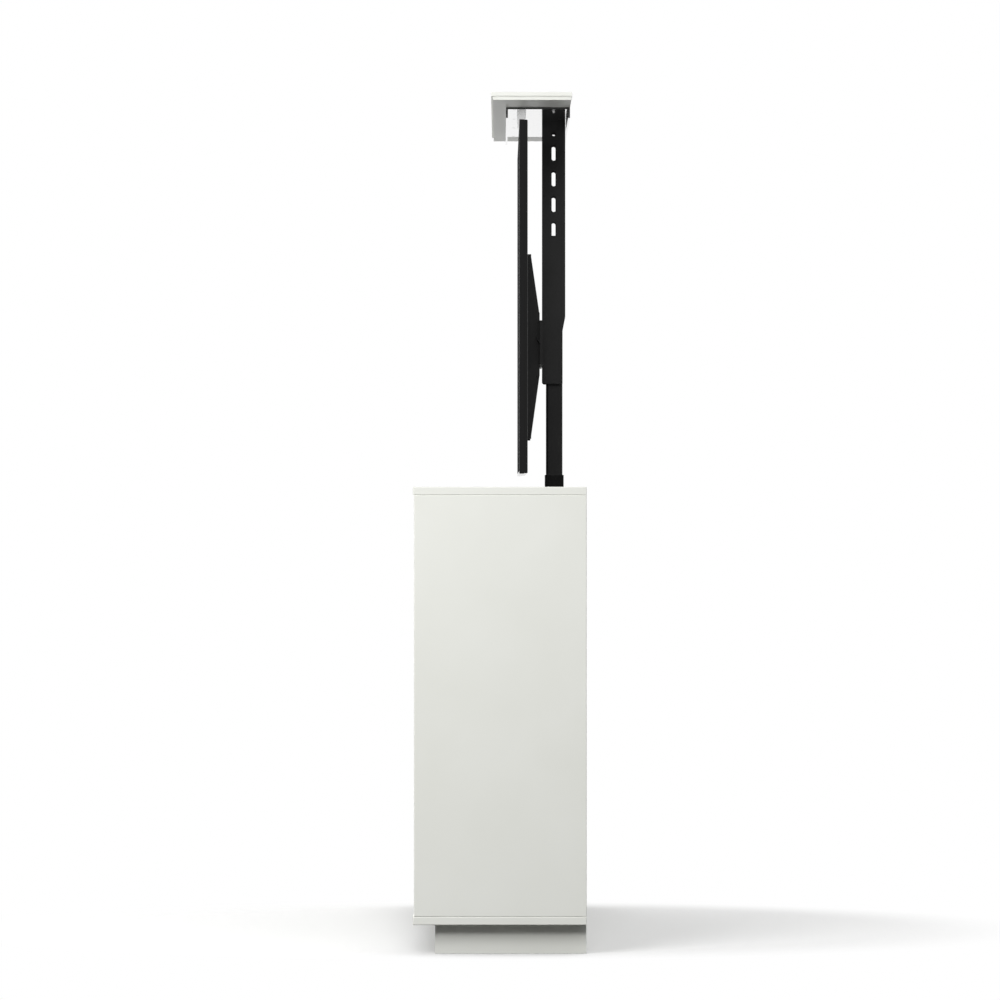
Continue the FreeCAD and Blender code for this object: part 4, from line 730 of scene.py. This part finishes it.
@dataclass
class Column:
    """Tubes, spindles, drive and brackets of the lift.

    Attributes:
        deep: nodes in oiled black oxide.
        coated: nodes in powder coat.
        wall: wall of the tubes.
        corner: inner corners of the tubes.
        glide_height: how deep a glide ring sits in its tube.
        glide_wall: its wall.
        glide_play: how far it is from the tube.
        glide_lip: how far it stands out of the tube.
        foot_corner: outer corners of the fixed tube.
        bead_radius: size of the weld bead.
        bead_ripple: how much of that size its ripples take.
        rib_width: ribs on the control box.
        rib_pitch: ribs, apart.
        rib_inset: ribs from the box's edges.
        rib_height: how far they stand up.
    """

    deep: Sequence[str] = ("outer_tube", "middle_tube")
    coated: Sequence[str] = (
        "lift_base_plate", "riser_bracket", "riser_spacer", "mount_plate", "mount_arm_left",
        "mount_arm_right",
    )
    wall: float = 1.5 * MM
    corner: float = 3.4 * MM
    glide_height: float = 12 * MM
    glide_wall: float = 0.85 * MM
    glide_play: float = 0.05 * MM
    glide_lip: float = 0.4 * MM
    foot_corner: float = 5 * MM
    bead_radius: float = 2.4 * MM
    bead_ripple: float = 0.12
    rib_width: float = 2 * MM
    rib_pitch: float = 8 * MM
    rib_inset: float = 12 * MM
    rib_height: float = 1.2 * MM

    def dress(self) -> None:
        """Coat the steel and finish the drive."""
        for node in self.coated:
            dress_node(node, POWDER_COAT)
        dress_node("inner_tube", TUBE_COAT)
        for node in self.deep:
            dress_node(node, DEEP_COAT)
        dress_node("lid_channel", POLISHED_BLACK)
        for node, finish in (
            ("lower_spindle", THREAD), ("upper_spindle", THREAD), ("middle_nut_block", ACETAL),
            ("inner_nut_block", ACETAL), ("gearbox", CASTING), ("drive_motor", MOTOR_STEEL),
            ("control_box", BLACK_PLASTIC),
        ):
            dress_node(node, finish)

    def build_glide(self, tube: str, body: Body) -> bpy.types.Object:
        """A thin plastic ring in a tube's mouth that guides the next tube.

        Args:
            tube: the node whose mouth holds the ring.
            body: the body that the tube belongs to.

        Returns:
            The ring.
        """
        low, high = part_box(tube)
        middle, size = (low + high) / 2, high - low
        around = 2 * (self.wall + self.glide_play)
        inner = Vector((size.x - around, size.y - around, 1.0))
        mesh = bmesh.new()
        bottom = high.z - self.glide_height
        matrix = Matrix.Translation((middle.x, middle.y, bottom)) @ Matrix.Diagonal((*inner, 1.0))
        made = bmesh.ops.create_grid(mesh, x_segments=1, y_segments=1, size=0.5, matrix=matrix)
        bmesh.ops.bevel(
            mesh, geom=made["verts"], offset=self.corner, offset_type="OFFSET", segments=4,
            profile=0.5, affect="VERTICES", material=-1,
        )
        inset = bmesh.ops.inset_region(
            mesh, faces=list(mesh.faces), thickness=self.glide_wall, use_boundary=True,
            use_even_offset=True,
        )
        centre = [face for face in mesh.faces if face not in set(inset["faces"])]
        bmesh.ops.delete(mesh, geom=centre, context="FACES")
        raised = bmesh.ops.extrude_face_region(mesh, geom=list(mesh.faces))["geom"]
        lift = Vector((0, 0, self.glide_height + self.glide_lip))
        bmesh.ops.translate(
            mesh, vec=lift, verts=[g for g in raised if isinstance(g, bmesh.types.BMVert)]
        )
        return finish_piece(f"{tube}_glide", mesh, GLIDE_PLASTIC, body)

    def build_weld(self) -> bpy.types.Object:
        """A rippled weld bead around the outer tube's foot."""
        low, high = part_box("outer_tube")
        middle, size = (low + high) / 2, high - low
        mesh = bmesh.new()
        matrix = Matrix.Translation((middle.x, middle.y, low.z)) @ Matrix.Diagonal(
            (size.x, size.y, 1.0, 1.0)
        )
        made = bmesh.ops.create_grid(mesh, x_segments=1, y_segments=1, size=0.5, matrix=matrix)
        bmesh.ops.bevel(
            mesh, geom=made["verts"], offset=self.foot_corner, offset_type="OFFSET", segments=5,
            profile=0.5, affect="VERTICES", material=-1,
        )
        bmesh.ops.subdivide_edges(
            mesh, edges=[e for e in mesh.edges if e.calc_length() > 10 * MM], cuts=16,
            use_grid_fill=False,
        )
        outline = list(mesh.edges)
        grown = bmesh.ops.extrude_edge_only(mesh, edges=outline)["geom"]
        raised = [g for g in grown if isinstance(g, bmesh.types.BMVert)]
        bmesh.ops.translate(mesh, vec=Vector((0, 0, self.bead_radius)), verts=raised)
        skirt = [v for v in mesh.verts if v not in set(raised)]
        centre = Vector((middle.x, middle.y, low.z))
        for index, vert in enumerate(skirt):
            away = vert.co - centre
            ripple = 1.0 + self.bead_ripple * math.sin(index * 2.4)
            vert.co += away.normalized() * self.bead_radius * ripple
        bmesh.ops.delete(
            mesh, geom=[f for f in mesh.faces if abs(f.normal.z) > 0.99 and f.calc_area() > 1e-3],
            context="FACES_ONLY",
        )
        return finish_piece("column_weld_bead", mesh, POWDER_COAT, Body.CABINET)

    def build_control_lid(self) -> bpy.types.Object:
        """A ribbed lid on the control box."""
        low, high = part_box("control_box")
        mesh = bmesh.new()
        inset = self.rib_inset
        for index in range(int((high.x - low.x - 2 * inset) / self.rib_pitch)):
            start = low.x + inset + index * self.rib_pitch
            block(
                mesh, Vector((start, low.y + inset, high.z - 0.5 * MM)),
                Vector((start + self.rib_width, high.y - inset, high.z + self.rib_height)),
                0.5 * MM,
            )
        return finish_piece(
            "control_box_ribs", mesh, BLACK_PLASTIC, Body.CABINET
        )

    def build(self) -> None:
        """Dress the nodes, then make the rings, the bead, the ribs and the screws."""
        self.dress()
        self.build_glide("outer_tube", Body.CABINET)
        self.build_glide("middle_tube", Body.MIDDLE)
        self.build_weld()
        self.build_control_lid()
        for screws in (
            ScrewSet("base_plate_bolts", Body.CABINET, Slot.FASTENER, ZINC, Vector((0, 0, 1)),
                     Head.HEXAGON, 7.5 * MM, 5.5 * MM, 4 * MM),
            ScrewSet("lid_screws", Body.HEAD, Slot.BLACK_FASTENER, BLACK_OXIDE,
                     Vector((0, 0, -1)), Head.COUNTERSUNK, 3.8 * MM, 2.2 * MM, 2 * MM),
            ScrewSet("bracket_screws", Body.HEAD, Slot.BLACK_FASTENER, BLACK_OXIDE,
                     Vector((0, -1, 0)), Head.COUNTERSUNK, 7.4 * MM, 2.4 * MM, 4 * MM),
            ScrewSet("tv_screws", Body.HEAD, Slot.BLACK_FASTENER, BLACK_OXIDE, Vector((0, 1, 0)),
                     Head.PAN, 5.5 * MM, 3.3 * MM, 3 * MM),
        ):
            screws.build()


# ------------------------------------------------------------------ television


@dataclass
class Television:
    """The television: rim, screen and a rear cover with vents and a socket bay."""

    border: float = 9 * MM
    groove_inset: float = 26 * MM
    groove_width: float = 1.6 * MM
    vent_pitch: float = 9 * MM
    vent_width: float = 3.6 * MM
    vent_height: float = 22 * MM
    vent_fields: Sequence[tuple[float, float, float]] = (
        (-0.60, -0.26, 0.74), (0.26, 0.60, 0.74), (-0.60, -0.26, 0.70), (0.26, 0.60, 0.70),
        (-0.42, 0.42, 0.045),
    )
    bay: tuple[float, float, float, float] = (0.38, 0.60, 0.16, 0.225)
    bay_depth: float = 3.5 * MM
    window_mm: tuple[float, float, float] = (26, 0.5, 3.4)

    def dress(self) -> None:
        """Finish the rim and the screen."""
        low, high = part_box("tv_screen")
        lit = {
            "half_width": high.x - self.border,
            "low": low.z + self.border,
            "high": high.z - self.border,
        }
        dress_node("tv_screen", replace(TV_SCREEN, **lit))
        dress_node("tv_frame", TV_RIM)

    def cuts(self, low: Vector, high: Vector) -> tuple[list[float], list[float]]:
        """Where the rear face is cut across and up for grooves, vents and the bay."""
        across, up = [], []
        for edge in (self.groove_inset, self.groove_inset + self.groove_width):
            across += [low.x + edge, high.x - edge]
            up += [low.z + edge, high.z - edge]
        for start, end, height in self.vent_fields:
            for index in range(int((end - start) / self.vent_pitch)):
                left = start + index * self.vent_pitch
                across += [left, left + self.vent_width]
            up += [low.z + height, low.z + height + self.vent_height]
        x0, x1, z0, z1 = self.bay
        across += [x0, x1]
        up += [low.z + z0, low.z + z1]
        return sorted(set(round(v, 5) for v in across)), sorted(set(round(v, 5) for v in up))

    def from_outline(self, spot: Vector, low: Vector, high: Vector) -> float:
        """How far a spot is inside the cover's outline."""
        return min(spot.x - low.x, high.x - spot.x, spot.z - low.z, high.z - spot.z)

    def in_groove(self, spot: Vector, low: Vector, high: Vector) -> bool:
        """True for a cell of the groove that runs around the rear face."""
        near, far = self.groove_inset, self.groove_inset + self.groove_width
        return near < self.from_outline(spot, low, high) < far

    def in_vent(self, spot: Vector, low: Vector) -> bool:
        """True for a cell that is a ventilation slot."""
        for start, end, height in self.vent_fields:
            count = int((end - start) / self.vent_pitch)
            offset = spot.x - start
            inside = 0 < offset < count * self.vent_pitch
            open_here = offset % self.vent_pitch < self.vent_width
            level = height < spot.z - low.z < height + self.vent_height
            if inside and open_here and level:
                return True
        return False

    def in_bay(self, spot: Vector, low: Vector) -> bool:
        """True for a cell of the recessed socket bay."""
        x0, x1, z0, z1 = self.bay
        return x0 < spot.x < x1 and z0 < spot.z - low.z < z1

    def build_rear_cover(self) -> bpy.types.Object:
        """Rear cover with a groove, slots and a recessed bay pressed into one sheet."""
        low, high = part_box("tv_rear_cover")
        middle, size = (low + high) / 2, high - low
        mesh = bmesh.new()
        matrix = (
            Matrix.Translation((middle.x, high.y, middle.z))
            @ Matrix.Rotation(math.radians(-90), 4, "X")
            @ Matrix.Diagonal((size.x, size.z, 1.0, 1.0))
        )
        bmesh.ops.create_grid(mesh, x_segments=1, y_segments=1, size=0.5, matrix=matrix)
        across, up = self.cuts(low, high)
        for places, normal in ((across, Vector((1, 0, 0))), (up, Vector((0, 0, 1)))):
            for place in places:
                bmesh.ops.bisect_plane(
                    mesh, geom=list(mesh.verts) + list(mesh.edges) + list(mesh.faces),
                    plane_co=normal * place, plane_no=normal, dist=1e-7,
                )
        border = [edge for edge in mesh.edges if edge.is_boundary]
        self.press(mesh, lambda spot: self.in_groove(spot, low, high), 0.9 * MM)
        self.press(mesh, lambda spot: self.in_bay(spot, low), self.bay_depth)
        vents = [f for f in mesh.faces if self.in_vent(f.calc_center_median(), low)]
        bmesh.ops.inset_individual(mesh, faces=vents, thickness=0.5 * MM, depth=-2.2 * MM)
        walls = bmesh.ops.extrude_edge_only(mesh, edges=border)["geom"]
        front = [g for g in walls if isinstance(g, bmesh.types.BMVert)]
        bmesh.ops.translate(mesh, vec=Vector((0, -size.y, 0)), verts=front)
        bmesh.ops.edgeloop_fill(mesh, edges=loop_edges(front))
        rim = [
            e for e in mesh.edges
            if all(abs(v.co.y - high.y) < 1e-6 for v in e.verts) and len(e.link_faces) == 2
            and e.calc_face_angle(0.0) > 1.4 and self.on_outline(e, low, high)
        ]
        bmesh.ops.bevel(
            mesh, geom=rim, offset=2.2 * MM, offset_type="OFFSET", segments=3, profile=0.5,
            affect="EDGES", material=-1,
        )
        piece = finish_piece(
            "tv_rear_cover_vented", mesh, TV_PLASTIC, Body.HEAD, 25
        )
        piece.data.materials.append(TV_RIM.material())
        for face in piece.data.polygons:
            if self.from_outline(face.center, low, high) < 0.5 * MM:
                face.material_index = 1
        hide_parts("tv_rear_cover")
        return piece

    def on_outline(self, edge: bmesh.types.BMEdge, low: Vector, high: Vector) -> bool:
        """True for an edge on the cover's outline."""
        spot = (edge.verts[0].co + edge.verts[1].co) / 2
        return self.from_outline(spot, low, high) < 1e-6

    def press(
        self, mesh: bmesh.types.BMesh, chosen: Callable[[Vector], bool], depth: float
    ) -> None:
        """Press the chosen cells of the rear face in by a depth, with drafted walls."""
        faces = [f for f in mesh.faces if chosen(f.calc_center_median())]
        bmesh.ops.inset_region(
            mesh, faces=faces, thickness=0.2 * MM, depth=-depth, use_even_offset=True
        )

    def build_sockets(self) -> bpy.types.Object:
        """A row of plain sockets in the bay."""
        low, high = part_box("tv_rear_cover")
        x0, _, z0, z1 = self.bay
        floor = high.y - self.bay_depth
        middle = low.z + (z0 + z1) / 2
        mesh = bmesh.new()
        left = x0 + 14 * MM
        for width, height in ((15, 5.6), (15, 5.6), (15, 5.6), (13.5, 6.8), (13.5, 6.8), (16, 13)):
            self.socket(mesh, left, middle, floor, width * MM, height * MM)
            left += (width + 13) * MM
        piece = finish_piece("tv_sockets", mesh, BLACK_OXIDE, Body.HEAD)
        piece.data.materials.append(BLACK_PLASTIC.material())
        return piece

    def socket(
        self, mesh: bmesh.types.BMesh, left: float, middle: float, floor: float, width: float,
        height: float,
    ) -> None:
        """One blackened shell that stands in the bay, with a sunk mouth and its tongue."""
        size = Vector((width, 3.0 * MM, height))
        centre = Vector((left + width / 2, floor + 1.0 * MM, middle))
        matrix = Matrix.Translation(centre) @ Matrix.Diagonal((*size, 1.0))
        made = bmesh.ops.create_cube(mesh, size=1.0, matrix=matrix)
        faces = {f for v in made["verts"] for f in v.link_faces}
        mouth = max(faces, key=lambda f: f.calc_center_median().y)
        bmesh.ops.inset_region(mesh, faces=[mouth], thickness=0.5 * MM)
        inside = [mouth]
        for thickness, depth in ((0.1, -2.0), (1.4, 0.0), (0.1, 1.4)):
            inside += bmesh.ops.inset_region(
                mesh, faces=[mouth], thickness=thickness * MM, depth=depth * MM
            )["faces"]
        for face in inside:
            face.material_index = 1

    def build_window(self) -> bpy.types.Object:
        """A small glossy infrared window in the lower rim."""
        low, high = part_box("tv_frame")
        width, depth, height = (size * MM for size in self.window_mm)
        centre = Vector(((low.x + high.x) / 2, low.y + depth * 0.4, low.z + 3.2 * MM))
        half = Vector((width / 2, depth / 2, height / 2))
        mesh = bmesh.new()
        block(mesh, centre - half, centre + half, 0.2 * MM)
        return finish_piece(
            "tv_infrared_window", mesh, POLISHED_BLACK, Body.HEAD
        )

    def build(self) -> None:
        """Dress the nodes and make the cover, the sockets and the window."""
        self.dress()
        self.build_rear_cover()
        self.build_sockets()
        self.build_window()


# ------------------------------------------------------------------ studio


@dataclass
class Studio:
    """Floor, world, lamps and camera.

    Attributes:
        overhead: how strongly the sky lights from above.
        beyond: how strongly it lights from the object's left.
        floor_albedo: how pale the floor is shown.
        floor_bounce: how much light it gives back to the object.
        floor_reach: how far behind the object the floor starts and ends to turn white.
        floor_squeeze: how much nearer it does so at the object's left and right.
        camera_at: the camera's place.
        lens_mm: its focal length.
        sensor_mm: its sensor's width.
        softbox_size: side of the square lamps.
    """

    overhead: float = 0.9
    beyond: float = 1.43
    floor_albedo: float = 0.84
    floor_bounce: float = 0.04
    floor_reach: tuple[float, float] = (0.95, 1.35)
    floor_squeeze: float = 1.4
    camera_at: tuple[float, float, float] = (13.64, 0.0006, 1.0525)
    lens_mm: float = 200.0
    sensor_mm: float = 36.0
    softbox_size: float = 1.6

    def seen_directly(self, tree: Tree) -> Socket:
        """1 for camera, glossy and transmission rays, otherwise 0."""
        path = add_node(tree, "ShaderNodeLightPath").outputs
        most = path["Is Camera Ray"]
        for name in ("Is Glossy Ray", "Is Transmission Ray"):
            most = add_node(
                tree, "ShaderNodeMath", {0: most, 1: path[name]}, operation="MAXIMUM"
            ).outputs["Value"]
        return most

    def build_world(self) -> None:
        """A sky that is white where it is seen, and lights from above and from the left."""
        world = bpy.data.worlds.new("pale_studio")
        world.use_nodes = True
        tree = world.node_tree
        tree.nodes.clear()
        heading = add_node(tree, "ShaderNodeTexCoord").outputs["Generated"]
        axes = add_node(tree, "ShaderNodeSeparateXYZ", {"Vector": heading}).outputs
        leftwards = add_node(
            tree, "ShaderNodeMapRange",
            {"Value": axes["X"], "From Min": 0.0, "From Max": -1.0, "To Max": self.beyond},
        ).outputs["Result"]
        strength = add_node(
            tree, "ShaderNodeMath", {0: axes["Z"], 1: self.overhead, 2: leftwards},
            operation="MULTIPLY_ADD",
        ).outputs["Value"]
        dim = add_node(
            tree, "ShaderNodeBackground", {"Color": (1, 1, 1, 1), "Strength": strength}
        )
        white = add_node(tree, "ShaderNodeBackground", {"Color": (1, 1, 1, 1), "Strength": 1.0})
        mixed = add_node(
            tree, "ShaderNodeMixShader",
            {0: self.seen_directly(tree), 1: dim.outputs[0], 2: white.outputs[0]},
        )
        add_node(tree, "ShaderNodeOutputWorld", {"Surface": mixed.outputs[0]})
        bpy.context.scene.world = world

    def build_floor(self) -> None:
        """A pale floor that keeps the object's shadow and stays white around it."""
        mesh = bmesh.new()
        bmesh.ops.create_grid(mesh, x_segments=1, y_segments=1, size=60.0)
        data = bpy.data.meshes.new("studio_floor")
        mesh.to_mesh(data)
        mesh.free()
        floor = bpy.data.objects.new("studio_floor", data)
        bpy.context.scene.collection.objects.link(floor)
        floor.location.z = -0.0005
        material = bpy.data.materials.new("studio_paper")
        material.use_nodes = True
        tree = material.node_tree
        tree.nodes.clear()
        grey = (self.floor_bounce,) * 3 + (1.0,)
        pale = (self.floor_albedo,) * 3 + (1.0,)
        bounce = add_node(tree, "ShaderNodeBsdfDiffuse", {"Color": grey})
        paper = add_node(tree, "ShaderNodeBsdfDiffuse", {"Color": pale})
        glow = add_node(tree, "ShaderNodeEmission", {"Color": (1, 1, 1, 1), "Strength": 1.0})
        place = add_node(tree, "ShaderNodeTexCoord").outputs["Object"]
        squeezed = add_node(
            tree, "ShaderNodeVectorMath", {0: place, 1: (self.floor_squeeze, 1.0, 1.0)},
            operation="MULTIPLY",
        ).outputs["Vector"]
        away = add_node(
            tree, "ShaderNodeVectorMath", {0: squeezed}, operation="LENGTH"
        ).outputs["Value"]
        near, far = self.floor_reach
        blend = add_node(
            tree, "ShaderNodeMapRange", {"Value": away, "From Min": near, "From Max": far},
            interpolation_type="SMOOTHSTEP",
        ).outputs["Result"]
        seen = add_node(
            tree, "ShaderNodeMixShader", {0: blend, 1: paper.outputs[0], 2: glow.outputs[0]}
        )
        mixed = add_node(
            tree, "ShaderNodeMixShader",
            {0: self.seen_directly(tree), 1: bounce.outputs[0], 2: seen.outputs[0]},
        )
        add_node(tree, "ShaderNodeOutputMaterial", {"Surface": mixed.outputs[0]})
        data.materials.append(material)

    def softbox(self, name: str, place: Vector, target: Vector, watts: float) -> None:
        """A square area lamp that faces a target."""
        data = bpy.data.lights.new(name, "AREA")
        data.shape = "SQUARE"
        data.size = self.softbox_size
        data.energy = watts
        lamp = bpy.data.objects.new(name, data)
        lamp.location = place
        lamp.rotation_euler = (target - place).to_track_quat("-Z", "Y").to_euler()
        lamp.visible_camera = False
        bpy.context.scene.collection.objects.link(lamp)

    def build_lamps(self) -> None:
        """A key and a high fill for the right-hand side, and a low lamp for front and rear."""
        side, middle = Vector((0.8, 0.0, 1.0)), Vector((-0.2, 0.0, 0.9))
        for name, place, target, watts in (
            ("key_softbox", (3.5, -1.6, 2.2), side, 77.0),
            ("fill_softbox", (9.0, 0.0, 4.0), side, 166.0),
            ("front_softbox", (-0.8, -4.5, 0.85), middle, 54.0),
            ("rear_softbox", (-0.8, 4.5, 0.85), middle, 26.0),
        ):
            self.softbox(name, Vector(place), target, watts)

    def build_camera(self) -> None:
        """A long lens, level and square to the right-hand side."""
        data = bpy.data.cameras.new("side_camera")
        data.sensor_width = self.sensor_mm
        data.lens = self.lens_mm
        camera = bpy.data.objects.new("side_camera", data)
        camera.location = self.camera_at
        camera.rotation_euler = (math.radians(90), 0, math.radians(90))
        bpy.context.scene.collection.objects.link(camera)
        bpy.context.scene.camera = camera

    def build(self) -> None:
        """Set up the view, the world, the floor, the lamps and the camera."""
        bpy.context.scene.view_settings.view_transform = "Standard"
        self.build_world()
        self.build_floor()
        self.build_lamps()
        self.build_camera()


def main() -> None:
    """Build every sub-assembly and report the pieces."""
    logging.basicConfig(level=logging.INFO, format="%(name)s: %(message)s")
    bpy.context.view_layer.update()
    for part in (Studio(), Carcass(), Column(), Television()):
        part.build()
        LOG.info("%s is finished", type(part).__name__)


if __name__ == "__main__":
    main()
